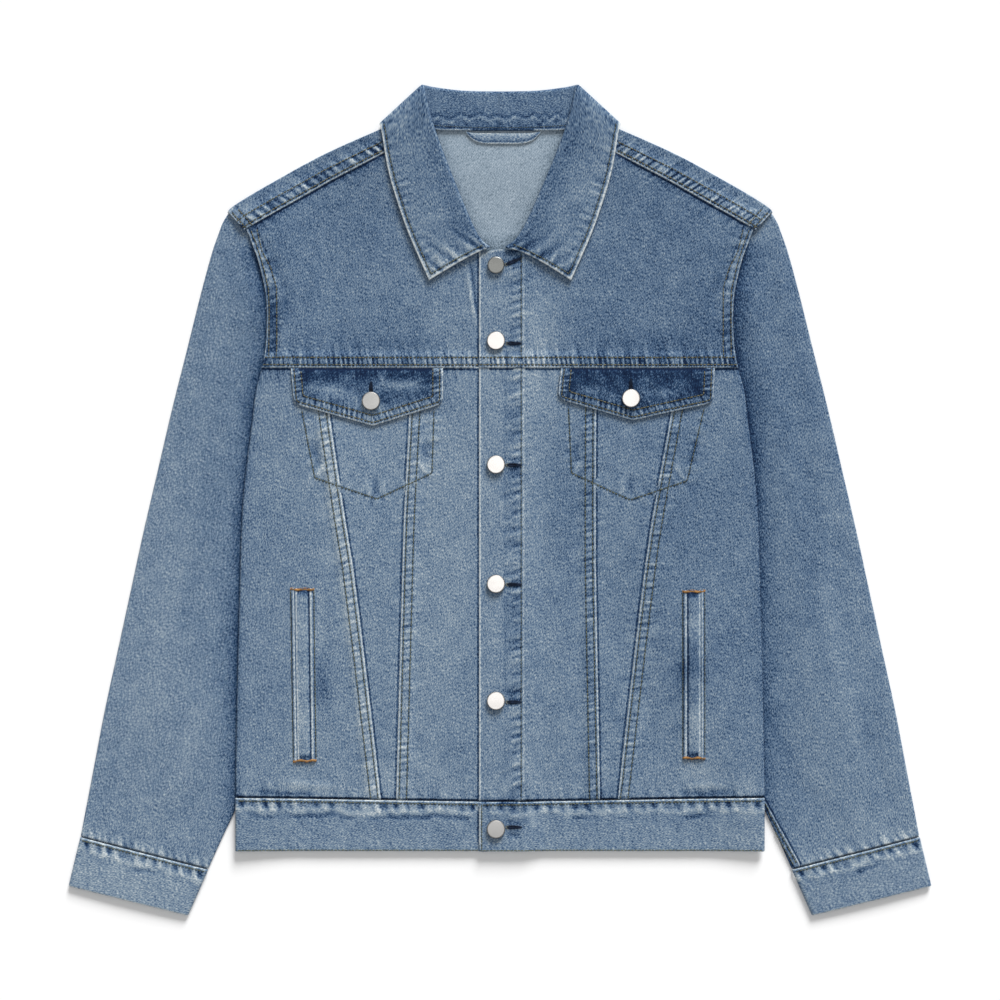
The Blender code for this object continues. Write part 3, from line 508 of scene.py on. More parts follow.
BODY_PATCHES = [Patch(*spot) for spot in (
    (150, -60, 120, 240, -0.06), (205, 40, 60, 130, -0.05), (60, 0, 30, 60, -0.05),
    (-50, 172, 30, 48, 0.11), (-5, 177, 24, 60, 0.12), (-58, -60, 38, 200, 0.05), (37, 160, 24, 46, 0.17),
    (72, 196, 26, 26, 0.05), (30, 30, 14, 100, 0.08), (-5, 30, 15, 80, 0.05), (-2, 129, 62, 8, 0.13),
    (-48, 104, 8, 22, -0.1), (-112, 206, 40, 46, 0.06), (-105, 146, 42, 8, -0.07),
    # (13, 229) is painted shadow under the collar's edge beside the top button, and (-223, 117) painted shade
    # below the yoke seam by the armhole
    (150, 147, 48, 10, -0.09), (-121, 129, 50, 5, -0.1), (124, 129, 50, 5, -0.08), (13, 229, 8, 6, -0.2),
    (-11, 226, 7, 5, 0.14), (-223, 117, 22, 7, -0.16),
    # broad and faint: wear over the body
    (-205, -40, 40, 60, -0.035), (-225, -170, 22, 90, -0.03), (195, -35, 45, 60, -0.03),
    (218, -170, 25, 90, -0.04), (56, -28, 30, 60, -0.03), (56, -180, 30, 90, 0.025),
    (-5, -28, 14, 30, -0.02), (-5, -140, 14, 50, 0.045), (-65, -303, 45, 16, -0.04),
    (-130, 190, 110, 80, -0.02), (202, 47, 25, 35, 0.03),
    # the ends of the shoulder strips
    (-243, 270, 13, 12, 0.22), (243, 270, 13, 12, 0.12), (9, -63, 8, 5, 0.12),
    # about the hand pockets
    (-166, -172, 9, 18, -0.22), (-167, -118, 6, 26, 0.09), (-182, -225, 18, 14, 0.06),
    (177, -159, 15, 19, -0.34), (188, -252, 22, 10, 0.13), (232, -268, 12, 10, 0.1),
    # about the waist
    (-105, -259, 24, 16, 0.1), (0, -268, 40, 20, 0.05), (9, -285, 18, 11, -0.12), (6, -280.2, 24, 2, -0.4),
    (93, -280, 14, 10, -0.16), (205, -316, 70, 14, 0.06),
)]
FLAP_CLOUDS = {  # pale clouds between the dark folds that run down from the yoke seam
    "right": [Patch(*spot) for spot in (
        (-163, 104, 17, 4.5, 0.24), (-148, 98, 12, 5, 0.2), (-140, 114, 6, 4, 0.2),
        (-92, 107.5, 19, 4.5, 0.3), (-110, 113, 4, 5, 0.2), (-128, 90, 12, 5, 0.16), (-84, 113, 8, 4, 0.08),
        (-182, 112, 5, 8, -0.1), (-66, 103, 5, 8, -0.12), (-110, 93, 8, 4, -0.12), (-128, 117, 8, 3, -0.12),
    )],
    "left": [Patch(*spot) for spot in (
        (84, 102, 16, 4.5, 0.2), (102, 96, 12, 5, 0.2), (92, 113, 7, 3.5, 0.14), (150, 100, 18, 4.5, 0.24),
        (136, 112, 5, 5, 0.2), (168, 108, 10, 4, 0.14), (112, 112, 5, 5, 0.14), (184, 104, 6, 9, -0.12),
        (66, 106, 5, 9, -0.12), (138, 90, 9, 4, -0.1), (122, 117, 9, 3, -0.12),
    )],
}
SLEEVE_CREASES = [
    Crease([(258, 40), (262, -30), (254, -110)], 9, 0.4, 0.06),
    Crease([(282, 60), (290, -60), (298, -150)], 10, -0.4, -0.05),
    Crease([(300, -60), (312, -150), (330, -240)], 11, 0.4, 0.04),
    Crease([(250, -190), (272, -250), (300, -300)], 10, -0.4, -0.06),
    Crease([(-262, 60), (-276, -40), (-300, -140)], 10, -0.4, -0.04),
    Crease([(-300, -40), (-318, -130), (-330, -220)], 12, 0.4, 0.04),
    Crease([(-262, -170), (-292, -240), (-316, -296)], 9, 0.35, 0.05),
    Crease([(-350, -200), (-362, -260), (-376, -300)], 8, -0.35, -0.05),
    Crease([(340, -190), (352, -250), (372, -300)], 8, -0.35, -0.05),
]
SLEEVE_PATCHES = [Patch(*spot) for spot in (
    (-275, 170, 60, 110, -0.04), (275, 150, 60, 140, -0.1), (300, -80, 80, 140, -0.06),
    (-325, -295, 60, 25, 0.03), (325, -295, 60, 25, -0.02),
)]

# short folds above and below each buttonhole
_dice = random.Random(12)
for _y, _shift in zip(BUTTON_ROWS, HOLE_SHIFTS):
    BODY_PATCHES.append(Patch(13, _y + _shift, 7, 3.2, -0.22))
    for _away in (5, -5, 9.5, -9.5):
        _at = _y + _shift + _away + _dice.uniform(-1.5, 1.5)
        _tone = _dice.choice((-1.0, 1.0)) * _dice.uniform(0.7, 1.2)
        _line = [(5, _at), (20, _at + _dice.uniform(-2.5, 2.5))]
        BODY_CREASES.append(Crease(_line, 1.7, 0.3 * _tone, 0.16 * _tone))


def body_relief(x, y):
    height, wash = ripples(BODY_SEAMS, x, y)
    more, more_wash = creased(BODY_CREASES, x, y)
    return height + more, wash + more_wash + patched(BODY_PATCHES, x, y)


def back_relief(x, y):
    """The back lies on the table, so it only rises from it, and less toward its sides."""
    height, wash = ripples(BACK_SEAMS, x, y)
    more, more_wash = creased(BACK_CREASES, x, y)
    room = clamp((across(BACK_EDGE, y) - np.abs(x) - 6.0) / 20.0)
    return np.clip(0.7 * (height + more), 0.0, 0.4) * room, wash + more_wash + patched(BACK_PATCHES, x, y)


# ---------------------------------------------------------------- finishes


def linear(code):
    """An sRGB hex colour, turned to linear."""
    values = [int(code[i:i + 2], 16) / 255 for i in (0, 2, 4)]
    return [v / 12.92 if v <= 0.04045 else ((v + 0.055) / 1.055) ** 2.4 for v in values] + [1.0]


def put(tree, node, links):
    """A node's inputs by name, or by number as i0, i1 and i2: a socket is linked, a value is set."""
    for name, value in links.items():
        numbered = name[0] == "i" and name[1:].isdigit()
        socket = node.inputs[int(name[1:]) if numbered else name.replace("_", " ")]
        if isinstance(value, bpy.types.NodeSocket):
            tree.links.new(value, socket)
        else:
            socket.default_value = value


def add(tree, kind, settings=None, **links):
    """A node with its settings and links."""
    node = tree.nodes.new(kind)
    for name, value in (settings or {}).items():
        setattr(node, name, value)
    put(tree, node, links)
    return node


def tinted(tree, value, stops):
    """The colour at a value, between stops of a place and a hex colour."""
    node = add(tree, "ShaderNodeValToRGB", Fac=value)
    elements = node.color_ramp.elements
    while len(elements) < len(stops):
        elements.new(0.5)
    for element, (place, code) in zip(elements, stops):
        element.position = place
        element.color = linear(code)
    return node.outputs["Color"]


def start_material(name):
    material = bpy.data.materials.new(name)
    material.use_nodes = True
    return material, material.node_tree, material.node_tree.nodes["Principled BSDF"]


def sum_of(tree, first, *parts):
    """first + each part times its weight."""
    total = first
    for part, weight in parts:
        node = add(tree, "ShaderNodeMath", {"operation": "MULTIPLY_ADD"}, i0=part, i1=weight, i2=total)
        total = node.outputs[0]
    return total


def denim(name, stops, twill_weight, lines):
    """Ring-spun cotton denim, stone washed: indigo warp over pale weft, with the colour worn off high spots.

    The grain map is in millimetres, its second axis along the warp. The seam map is in millimetres along the
    folded edge and inside it.
    """
    material, tree, shader = start_material(name)
    grain = add(tree, "ShaderNodeUVMap", {"uv_map": "grain"}).outputs[0]
    seam = add(tree, "ShaderNodeUVMap", {"uv_map": "seam"}).outputs[0]
    wash = add(tree, "ShaderNodeAttribute", {"attribute_name": "wash"}).outputs["Fac"]
    kind = add(tree, "ShaderNodeAttribute", {"attribute_name": "seam_kind"}).outputs
    rope, rows, edge = add(tree, "ShaderNodeSeparateColor", Color=kind["Color"]).outputs[:3]
    swell = kind["Alpha"]
    across_warp, along_warp = add(tree, "ShaderNodeSeparateXYZ", Vector=grain).outputs[:2]
    along, inside = add(tree, "ShaderNodeSeparateXYZ", Vector=seam).outputs[:2]

    def noise(where, sizes, detail, rough=0.5):
        """Noise from -0.5 to 0.5, in grains of these sizes in millimetres."""
        scaled = add(tree, "ShaderNodeMapping", i0=where, Scale=(1 / sizes[0], 1 / sizes[1], 1.0)).outputs[0]
        grains = add(tree, "ShaderNodeTexNoise", Vector=scaled, Scale=1.0, Detail=detail, Roughness=rough)
        return sum_of(tree, -0.5, (grains.outputs["Fac"], 1.0))

    def times(*parts):
        total = parts[0]
        for part in parts[1:]:
            total = add(tree, "ShaderNodeMath", {"operation": "MULTIPLY"}, i0=total, i1=part).outputs[0]
        return total

    def step(low, high, value=inside):
        """0 to 1 as the value goes from low to high, whichever is the greater."""
        settings = {"interpolation_type": "SMOOTHSTEP"}
        return add(tree, "ShaderNodeMapRange", settings, Value=value, From_Min=low, From_Max=high).outputs[0]

    def line_at(place, width, value=inside):
        away = sum_of(tree, -place, (value, 1.0))
        return step(width, 0.0, add(tree, "ShaderNodeMath", {"operation": "ABSOLUTE"}, i0=away).outputs[0])

    # the floats follow the twill line a little
    lean = math.copysign(math.radians(20), -lines)
    leaning = add(tree, "ShaderNodeMapping", i0=grain, Rotation=(0.0, 0.0, lean)).outputs[0]
    speck = noise(leaning, (0.9, 2.1), 1.0)  # single warp floats, about 1 mm wide
    slub = noise(grain, (2.0, 9.0), 2.0)  # thick and thin yarn, along the warp
    cloud = noise(grain, (14.0, 20.0), 3.0, 0.6)
    broad = noise(grain, (70.0, 110.0), 2.0)
    # twill lines are 1.1 mm apart on heavy denim, drawn at 1.5 mm so that they show
    turns = times(sum_of(tree, across_warp, (along_warp, lines)), 2 * math.pi / 1.5)
    twill = add(tree, "ShaderNodeMath", {"operation": "SINE"}, i0=turns).outputs[0]

    # ropes at even distances along a seam, less regular here and there, and worn streaks beside them
    turns = sum_of(tree, 0.0, (along, 2 * math.pi / ROPE), (noise(seam, (45.0, 90.0), 1.0), 7.0))
    regular = add(tree, "ShaderNodeMath", {"operation": "SINE"}, i0=turns).outputs[0]
    uneven = sum_of(tree, 0.9, (noise(seam, (13.0, 50.0), 1.0), 1.0))
    stripes = sum_of(tree, 0.0, (times(regular, uneven), 0.25), (noise(seam, (2.9, 14.0), 0.6), 0.8))
    ropes = times(stripes, step(0.4, 2.6), step(12.4, 9.6), rope)
    streaks = times(noise(seam, (5.5, 34.0), 1.0), step(-16.0, 0.0), step(32.0, 5.0), rope)
    # the rows sink into the cloth, and the darker lines along them are painted shade in those grooves
    second_row = times(line_at(SECOND_ROW, 1.3), step(0.5, 1.0, rows))
    sunk = sum_of(tree, times(line_at(FIRST_ROW, 1.3), step(0.0, 0.5, rows)), (second_row, 1.0))
    worn = times(line_at(0.3, 1.7), sum_of(tree, 0.95, (noise(seam, (4.0, 30.0), 1.0), 1.8)), edge)
    # beside a lapped edge the cloth is darker: painted shade under the edge, and indigo kept where the edge
    # covered it
    lapping = times(step(0.3, -0.3), step(0.35, 0.45, edge))
    narrow, wide = times(lapping, step(-2.6, -1.3)), times(lapping, step(-7.5, -1.0), step(0.6, 0.9, rope))
    lap_shade = sum_of(tree, 0.0, (narrow, 0.42), (wide, 0.16))
    # behind a seam with a single row the cloth swells in waves, worn pale on their crests, with painted shade
    # in the blotches below them and in the troughs between the spokes
    drift = sum_of(tree, inside, (noise(seam, (24.0, 400.0), 1.5), 16.0))
    spokes = times(step(3.2, 4.4), step(9.5, 6.0))
    comb = sum_of(tree, 0.0, (regular, 0.4), (noise(seam, (11.0, 60.0), 1.0), 3.4))
    blotches = times(line_at(16.0, 4.0, drift), step(0.04, 0.14, noise(seam, (22.0, 10.0), 0.8)))
    waves = sum_of(
        tree, 0.0, (line_at(10.4, 4.2, drift), 0.18), (blotches, -0.26),
        (times(spokes, step(0.0, -0.7, comb)), -0.27), (times(spokes, step(0.1, 0.8, comb)), 0.06),
    )
    waves = times(waves, swell, step(1.0, 4.0))
    tone = sum_of(
        tree, wash, (speck, 1.35), (slub, 0.36), (cloud, 0.3), (broad, 0.16), (twill, twill_weight),
        (ropes, 1.0), (streaks, 0.95), (sunk, -0.22), (worn, 0.55), (lap_shade, -1.0), (waves, 1.0),
    )
    # the stops span tones from -0.25 to 1, and a wash of 0 is at 0.46
    shade = sum_of(tree, 0.8 * (0.46 + 0.25), (tone, 0.8))
    colour = tinted(tree, shade, [(0.8 * (place + 0.25), code) for place, code in stops])
    folds = sum_of(tree, 0.0, (ropes, 0.6), (streaks, 0.7), (sunk, -0.3), (waves, 0.8))
    deep = add(tree, "ShaderNodeBump", Height=folds, Strength=0.8, Distance=0.001).outputs[0]
    yarn = sum_of(tree, 0.0, (twill, 0.35), (speck, 1.0), (slub, 0.5))
    bump = add(tree, "ShaderNodeBump", Height=yarn, Strength=0.5, Distance=0.0003, Normal=deep).outputs[0]
    put(tree, shader, {
        "Base Color": colour, "Normal": bump, "Roughness": 0.88, "IOR": 1.45, "Specular IOR Level": 0.14,
        "Sheen Weight": 0.03, "Sheen Roughness": 0.5,
    })
    return material


def thread(name, pale, dark):
    """Spun topstitching thread, size 40, three ply, about 0.5 mm thick."""
    material, tree, shader = start_material(name)
    place = add(tree, "ShaderNodeTexCoord").outputs["Object"]
    blotch = add(tree, "ShaderNodeTexNoise", Vector=place, Scale=260.0, Detail=2.0).outputs["Fac"]
    ply = add(tree, "ShaderNodeTexNoise", Vector=place, Scale=2500.0, Detail=1.0).outputs["Fac"]
    bump = add(tree, "ShaderNodeBump", Height=ply, Strength=0.4, Distance=0.0001).outputs[0]
    colour = tinted(tree, blotch, ((0.35, dark), (0.65, pale)))
    put(tree, shader, {
        "Base Color": colour, "Normal": bump, "Roughness": 0.75, "IOR": 1.5, "Specular IOR Level": 0.2,
    })
    return material


def nickel(name, base, roughness):
    """Nickel-plated brass button cap, brushed and tumbled to a satin finish."""
    material, tree, shader = start_material(name)
    place = add(tree, "ShaderNodeTexCoord").outputs["Object"]
    fine = add(tree, "ShaderNodeTexNoise", Vector=place, Scale=1400.0, Detail=3.0).outputs["Fac"]
    cloud = add(tree, "ShaderNodeTexNoise", Vector=place, Scale=160.0, Detail=2.0).outputs["Fac"]
    bump = add(tree, "ShaderNodeBump", Height=fine, Strength=0.05, Distance=0.0001).outputs[0]
    rough = sum_of(tree, roughness - 0.06, (cloud, 0.12))
    put(tree, shader, {"Base Color": linear(base), "Normal": bump, "Roughness": rough, "Metallic": 1.0})
    return material


BLUE = (
    (-0.25, "0a1b37"), (0.0, "152b4a"), (0.12, "254160"), (0.25, "465e7c"),
    (0.42, "647a92"), (0.58, "7f91a2"), (0.78, "a2afb8"), (1.0, "cdd4d6"),
)
PALE = (
    (-0.25, "3a4956"), (0.0, "52626f"), (0.25, "7b8c9b"), (0.5, "94a4b2"), (0.75, "a9b7c3"), (1.0, "d3dbe1"),
)
face = denim("washed_indigo_denim", BLUE, 0.05, -0.58)
reverse = denim("denim_reverse", PALE, 0.04, 0.58)
tan_thread = thread("tan_topstitch_thread", "77745d", "4a4d40")
olive_thread = thread("faded_topstitch_thread", "6c6f5c", "464d46")
orange_thread = thread("bar_tack_thread", "b08450", "80623e")
navy_thread = thread("buttonhole_thread", "17263e", "081222")
eye_thread = thread("buttonhole_eye_thread", "9fa194", "6c7068")
satin = nickel("satin_nickel", "fcf8f4", 0.42)
dim_cap = nickel("nickel_dim_reflection", "c0bfbd", 0.42)
shaded_cap = nickel("nickel_shaded_under_collar", "8d8e8b", 0.36)
# the rim is darker: painted shade round the cap's edge
rim = nickel("nickel_rim_painted_shade", "8f8d8a", 0.55)
SHADED_CAPS = {"button_1": shaded_cap, "button_6": dim_cap, "flap_button_right": dim_cap}  # painted shade on the top cap under the collar, and dimmer painted reflections on the others


# ---------------------------------------------------------------- pieces


def stand(name, data, location=(0.0, 0.0, 0.0)):
    """Puts a mesh, a light or a camera in the scene."""
    thing = bpy.data.objects.new(name, data)
    thing.location = location
    bpy.context.scene.collection.objects.link(thing)
    return thing


def worn_piece(name, mesh, node=None):
    """A piece of the jacket, in place of one of its solids if a node is named."""
    piece = stand(name, mesh)
    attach(piece, "root")
    if node:
        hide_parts(node)
    return piece


# ---------------------------------------------------------------- cloth

cloths = {}


def places(length, pitch, start, end):
    """Distances along a piece, close together at its ends so that they can be rounded. start and end are
    the half thickness there, or 0 for an end that is out of sight."""
    first = [start * s for s in (0.0, 0.1, 0.4, 1.0, 1.8, 2.8)] if start else [0.0]
    last = [length - end * s for s in (2.8, 1.8, 1.0, 0.4, 0.1, 0.0)] if end else [length]
    count = max(1, round((last[0] - first[-1]) / pitch))
    return np.concatenate((first, np.linspace(first[-1], last[0], count + 1)[1:-1], last))


def gridded(left, right, shares):
    """Rows of points between two lines of points, at these shares from left to right."""
    return left[:, None] + (right - left)[:, None] * shares[None, :, None]


def lengths(points):
    """Distance of each grid point from the nearer end of its row and of its column."""
    down = np.linalg.norm(np.diff(points, axis=0), axis=2).cumsum(0)
    down = np.concatenate((np.zeros((1, points.shape[1])), down))
    along = np.linalg.norm(np.diff(points, axis=1), axis=2).cumsum(1)
    along = np.concatenate((np.zeros((points.shape[0], 1)), along), 1)
    return np.minimum(along, along[:, -1:] - along), np.minimum(down, down[-1:] - down)


def unit(vectors):
    return vectors / np.maximum(np.linalg.norm(vectors, axis=-1, keepdims=True), 1e-9)


TURNED = [0, 3, 2, 1]  # a face's corners the other way round


def corners(a):
    """The four corners of each cell of a grid, in the order of its face."""
    return np.stack((a[:-1, :-1], a[1:, :-1], a[1:, 1:], a[:-1, 1:]), 2)


def seam_map(seams, x, y):
    """Seam map and strengths at the corners of each cell of a grid, each cell by the seam nearest to it."""
    places_by_seam, kinds = [], []
    for k, seam in enumerate(seams):
        along, away = beside(seam.line, x, y)
        rows_at = (-100.0, 0.0, seam.first, seam.second, seam.second + 100.0)
        drawn_at = (-100.0, 0.0, FIRST_ROW, SECOND_ROW, SECOND_ROW + 100.0)
        away = np.interp(away, rows_at, drawn_at) if seam.first else away + FIRST_ROW
        turns = (along + seam.slant * away) * ROPE / seam.stripe
        places_by_seam.append(np.stack((corners(turns) + 611.0 * k, corners(away)), -1))
        kinds.append((seam.rope, seam.rows / 2, seam.edge, seam.swell))
    everything = np.stack(places_by_seam)
    nearest_seam = np.abs(everything[..., 1].mean(-1) - 4.0).argmin(0)
    chosen = np.take_along_axis(everything, nearest_seam[None, ..., None, None], 0)[0]
    return chosen, np.array(kinds)[nearest_seam]


def make_cloth(
    node, points, half, wash, grain, finish=(face, reverse), held="laid", seams=(), seams_below=False,
    wash_below=None,
):
    """A closed shell on a grid of points in its middle, with rounded edges.

    Rows run down the jacket and along +X, so the first finish faces up. seams are those near it, or a map
    and the strengths that go with it. They are on the first side unless seams_below.
    """
    rows, columns = points.shape[:2]
    normal = unit(np.cross(np.gradient(points, axis=1), -np.gradient(points, axis=0)))
    sideways, downward = lengths(points)
    inside = clamp(np.minimum(sideways, downward) / half)
    offset = normal * (half * np.sqrt(1 - (1 - inside) ** 2))[..., None]
    index = np.arange(rows * columns).reshape(rows, columns)
    rim = np.ones((rows, columns), bool)
    rim[1:-1, 1:-1] = False
    under = index.copy()
    under[~rim] = rows * columns + np.arange((~rim).sum())
    everything = np.concatenate(((points + offset).reshape(-1, 3), (points - offset)[~rim])) * MM
    top, bottom = corners(index).reshape(-1, 4), corners(under).reshape(-1, 4)[:, TURNED]
    faces = np.concatenate((top, bottom))
    mesh = bpy.data.meshes.new(node + "_cloth")
    mesh.from_pydata(everything.tolist(), [], faces.tolist())
    mesh.polygons.foreach_set("use_smooth", np.ones(len(faces), bool))
    mesh.polygons.foreach_set("material_index", np.repeat([0, 1], [len(top), len(bottom)]).astype(np.int32))
    for material in finish:
        mesh.materials.append(material)
    flat = np.concatenate((grain.reshape(-1, 2), grain[~rim]))
    uv = mesh.uv_layers.new(name="grain")
    uv.uv.foreach_set("vector", flat[faces.ravel()].ravel().astype(np.float32))
    places_on_seam = np.full((len(faces), 4, 2), 200.0)
    kinds = np.zeros((len(faces), 4, 4))
    if seams:
        mapped = isinstance(seams[0], np.ndarray)
        on_top, strengths = seams if mapped else seam_map(seams, points[..., 0], points[..., 1])
        on_top = on_top.reshape(-1, 4, 2)
        side = slice(len(top), None) if seams_below else slice(len(top))
        places_on_seam[side] = on_top[:, TURNED] if seams_below else on_top
        kinds[side] = strengths.reshape(len(top), -1, 4)
    seam_uv = mesh.uv_layers.new(name="seam")
    seam_uv.uv.foreach_set("vector", places_on_seam.ravel().astype(np.float32))
    kind = mesh.attributes.new("seam_kind", "FLOAT_COLOR", "CORNER")
    kind.data.foreach_set("color", kinds.ravel().astype(np.float32))
    lower = wash if wash_below is None else wash_below
    tone = mesh.attributes.new("wash", "FLOAT", "POINT")
    tone.data.foreach_set("value", np.concatenate((wash.ravel(), lower[~rim])).astype(np.float32))
    piece = worn_piece(node + "_cloth", mesh, node)
    spans = np.linalg.norm(np.diff(points, axis=1), axis=2), np.linalg.norm(np.diff(points, axis=0), axis=2)
    cloths[node] = BVHTree.FromPolygons(everything.tolist(), faces.tolist())
    return piece


def make_front_yoke(side):
    sign, laps = SIGN[side], side == "left"
    neck = COLLAR[:7:-1, 0:2] + (0.8, -0.6)
    start = START[side]
    inner = [(start, YOKE_SEAM + GAP), (start, 165.0), (start, 200.0)]
    if laps:
        inner += [(start, 225.5), (-16.7, 229.2), (-10.0, 231.9), (-3.0, 233.5), (4.0, 233.3), (11.0, 232.2)]
    else:
        inner += [(start, NECK_TOP - 2.0), (-3.0, NECK_TOP), (12.0, NECK_TOP + 0.5)]
    inner = np.array(inner + [tuple(p) for p in neck[1:]] + [(79.6, 338.1)])
    length = distances(inner)
    band_share = (NECK_TOP - YOKE_SEAM) / length[-1]
    down = places(length[-1], 1.9, THIN, 0.0)
    left = np.column_stack([np.interp(down, length, inner[:, k]) for k in (0, 1)])
    share = down / length[-1]
    y_out = np.interp(share, (0.0, band_share, 1.0), (YOKE_SEAM + GAP, 213.0, 250.4))
    right = np.column_stack((across(BODY_EDGE, y_out), y_out))
    blend_top = 1 - fade((share - 0.92) / 0.08)
    right[:, 0] = mix(right[:, 0], 237.3, blend_top)
    right[:, 1] = mix(right[:, 1], 250.7, blend_top)
    columns = places(241.0, 1.9, THIN, THIN) / 241.0
    grid = gridded(left, right, columns)
    x, y = grid[..., 0], grid[..., 1]
    # the top row follows the shoulder seam and goes a little way under the strip
    seam_y = np.interp(x[-1], SHOULDERS[:, 2], SHOULDERS[:, 3])
    tuck = 4.0 * clamp((x[-1] - 112.0) / 12.0) * fade((x[-1] - 228.0) / 12.0)
    y += (seam_y - y[-1] + tuck - 0.5) * (1 - fade((share[:, None] - 0.6) / 0.4))
    lap = lapped(y - YOKE_SEAM)
    if laps:
        lap = lap + button_band(x, CLOTH)
    else:
        lap = lap * clamp((x - 22.0) / 8.0)
    relief, wash = body_relief(sign * x, y)
    z = front(x, y) + CLOTH / 2 + lap + relief
    wash = wash - 0.11
    seams = [YOKE, ARMHOLE[side], STRIP[side], BAND_FOLD] + [BAND_ROW] * laps
    finish_cloth("front_yoke_" + side, x, y, z, THIN, wash, sign, seams=seams)


def finish_cloth(node, x, y, z, half, wash, sign, grain=None, **more):
    """Puts a half's grid on its own side of the jacket, rows from the top, columns toward +X."""
    points = np.stack((x * sign, y, z), -1)
    grain = points[..., :2] if grain is None else grain
    if sign < 0:
        points, wash, grain = points[:, ::-1], wash[:, ::-1], grain[:, ::-1]
    if points[0, 0, 1] < points[-1, 0, 1]:
        points, wash, grain = points[::-1], wash[::-1], grain[::-1]
    return make_cloth(node, points, half, wash, grain, **more)


def make_panel(node, side, left, right, pitch, rounds, seams, lap, turned=False):
    """A front panel between two lines from the yoke seam to the waistband.

    One that is turned goes down behind the side of the body.
    """
    sign = SIGN[side]
    ys = PANEL_TOP - places(PANEL_TOP - WAIST_TOP - GAP, PITCH, 0.0, 0.0)
    left, right = left(ys), right(ys)
    width = float((right - left).mean())
    shares = places(width, pitch, *rounds) / width
    last = right - 2.6 if turned else right
    grid = gridded(np.column_stack((left, ys)), np.column_stack((last, ys)), shares)
    x, y = grid[..., 0], grid[..., 1]
    relief, wash = body_relief(sign * x, y)
    z = front(x, y) + CLOTH / 2 + lap(x, y) + relief
    if turned:
        x, y, z, wash = turn_down(right, x, y, z, wash)
        # painted shade along the body's side, where it rounds down over the sleeve
        wash = wash - 0.16 * np.exp(-(across(BODY_EDGE, y) - x) / 4.0)
    finish_cloth(node, x, y, z, THIN, wash, sign, seams=[YOKE, WAIST, POCKET[side], *seams])


def make_fronts(side):
    laps = side == "left"

    def inner(y):
        return vee(side, 0, y)

    def outer(y):
        return vee(side, 1, y)

    def lap_inner(x, y):
        return below_flap(y) * lapped(inner(y) - x) + (button_band(x, CLOTH) if laps else 0.0)

    def lap_outer(x, y):
        return below_flap(y) * lapped(x - outer(y))

    make_panel(
        "front_panel_" + side, side, lambda y: START[side] + 0 * y, lambda y: inner(y) - GAP / 2, 1.9,
        (THIN, THIN), [INNER[side], BAND_FOLD] + [BAND_ROW] * laps, lap_inner,
    )
    make_panel(
        "front_insert_" + side, side, lambda y: inner(y) - 3.5, lambda y: outer(y) + 3.5, 2.0,
        (0.0, 0.0), [INNER[side], OUTER[side]], lambda x, y: 0.0,
    )
    make_panel(
        "side_front_" + side, side, lambda y: outer(y) + GAP / 2, lambda y: across(BODY_EDGE, y), 1.9,
        (THIN, 0.0), [OUTER[side]], lap_outer, True,
    )


def turn_down(edge, x, y, z, wash, half=THIN):
    """Adds columns that round a folded edge and go down behind it, in the middle of the cloth."""
    top, low = z[:, -1], rise(edge, y[:, 0]) + TURN_LOW
    turns = ((1.4, 0.05), (0.85, 0.22), (0.3, 0.55), (0.05, 1.0), (0.0, 1.5))
    xs = [edge - half - inset for inset, _ in turns] + [edge - half]
    zs = [top - np.minimum(drop, top - low) for _, drop in turns] + [np.minimum(low + 0.2, top - 1.55)]
    count = len(xs)
    added = np.stack(xs, 1), np.repeat(y[:, :1], count, 1), np.stack(zs, 1), np.repeat(wash[:, -1:], count, 1)
    return [np.concatenate(pair, 1) for pair in zip((x, y, z, wash), added)]


def make_waistband(side):
    sign, laps = SIGN[side], side == "left"
    ys = WAIST_TOP - GAP - places(WAIST_TOP - GAP - HEM, 1.9, THICK, THICK)
    xs = START[side] + places(WAIST_HALF - 3.6 - START[side], 1.8, THICK, 0.0)
    x, y = np.meshgrid(xs, ys)
    relief, wash = body_relief(sign * x, y)
    z = rise(x, y) + BAND + GAP + EASE + body_slack(x, y) + BAND / 2 + relief
    z += button_band(x, BAND) if laps else 0.0
    x, y, z, wash = turn_down(WAIST_HALF + 0 * ys, x, y, z, wash, THICK)
    grain = np.stack((y, sign * x), -1)
    finish_cloth(
        "waistband_front_" + side, x, y, z, THICK, wash, sign, grain, finish=(face, face), held="folded",
        seams=[WAIST, HEMLINE, BAND_FOLD],
    )


# Round a tube's fold: how far inside its edge, beside half the cloth's thickness, and what part of the
# height down from the top. The first is tucked below.
FOLD = ((0.1, 1.0), (-0.05, 0.62), (0.02, 0.38), (0.35, 0.13), (0.95, 0.04), (1.7, 0.0))


def make_tube(
    node, side, outer, inner, z_top, drop, half, pitch, wash_of, finish, along_band=False, seams=(),
    below=False,
):
    """One half of a flattened tube between an outer and an inner edge. drop is the height of its fold."""
    sign = SIGN[side]
    width = np.linalg.norm(inner - outer, axis=1)[:, None]
    fold = FOLD if drop else ((2.0, 0.0),)
    inset = np.array([half + d for d, _ in fold])
    fall = np.array([drop * f for _, f in fold])
    count = max(2, round((float(width.mean()) - 4.0) / pitch))
    mids = np.linspace(0.0, 1.0, count + 1)[None, 1:-1]
    between = inset[-1] + mids * (width - 2 * inset[-1])
    first = np.repeat(inset[None, :], len(width), 0)
    distance = np.concatenate((first, between, width - first[:, ::-1]), 1)
    fall = np.concatenate((fall, np.zeros(count - 1), fall[::-1]))
    share = distance / width
    grid = outer[:, None] + (inner - outer)[:, None] * share[..., None]
    x, y = grid[..., 0], grid[..., 1]
    z, wash = z_top(x * sign, y, share) - fall[None, :], wash_of(x * sign, y, share)
    turned = -sign * math.atan2(135.4, 577.1)  # the sleeve's own direction
    u = x * sign * math.cos(turned) - y * math.sin(turned)
    v = x * sign * math.sin(turned) + y * math.cos(turned)
    grain = np.stack((v, u) if along_band else (u, v), -1)
    reversed_columns = [a[:, ::-1] for a in (x, y, z)]
    return finish_cloth(
        node, *reversed_columns, half, wash[:, ::-1], sign, grain[:, ::-1], finish=finish, held="folded",
        seams=seams, seams_below=below,
    )


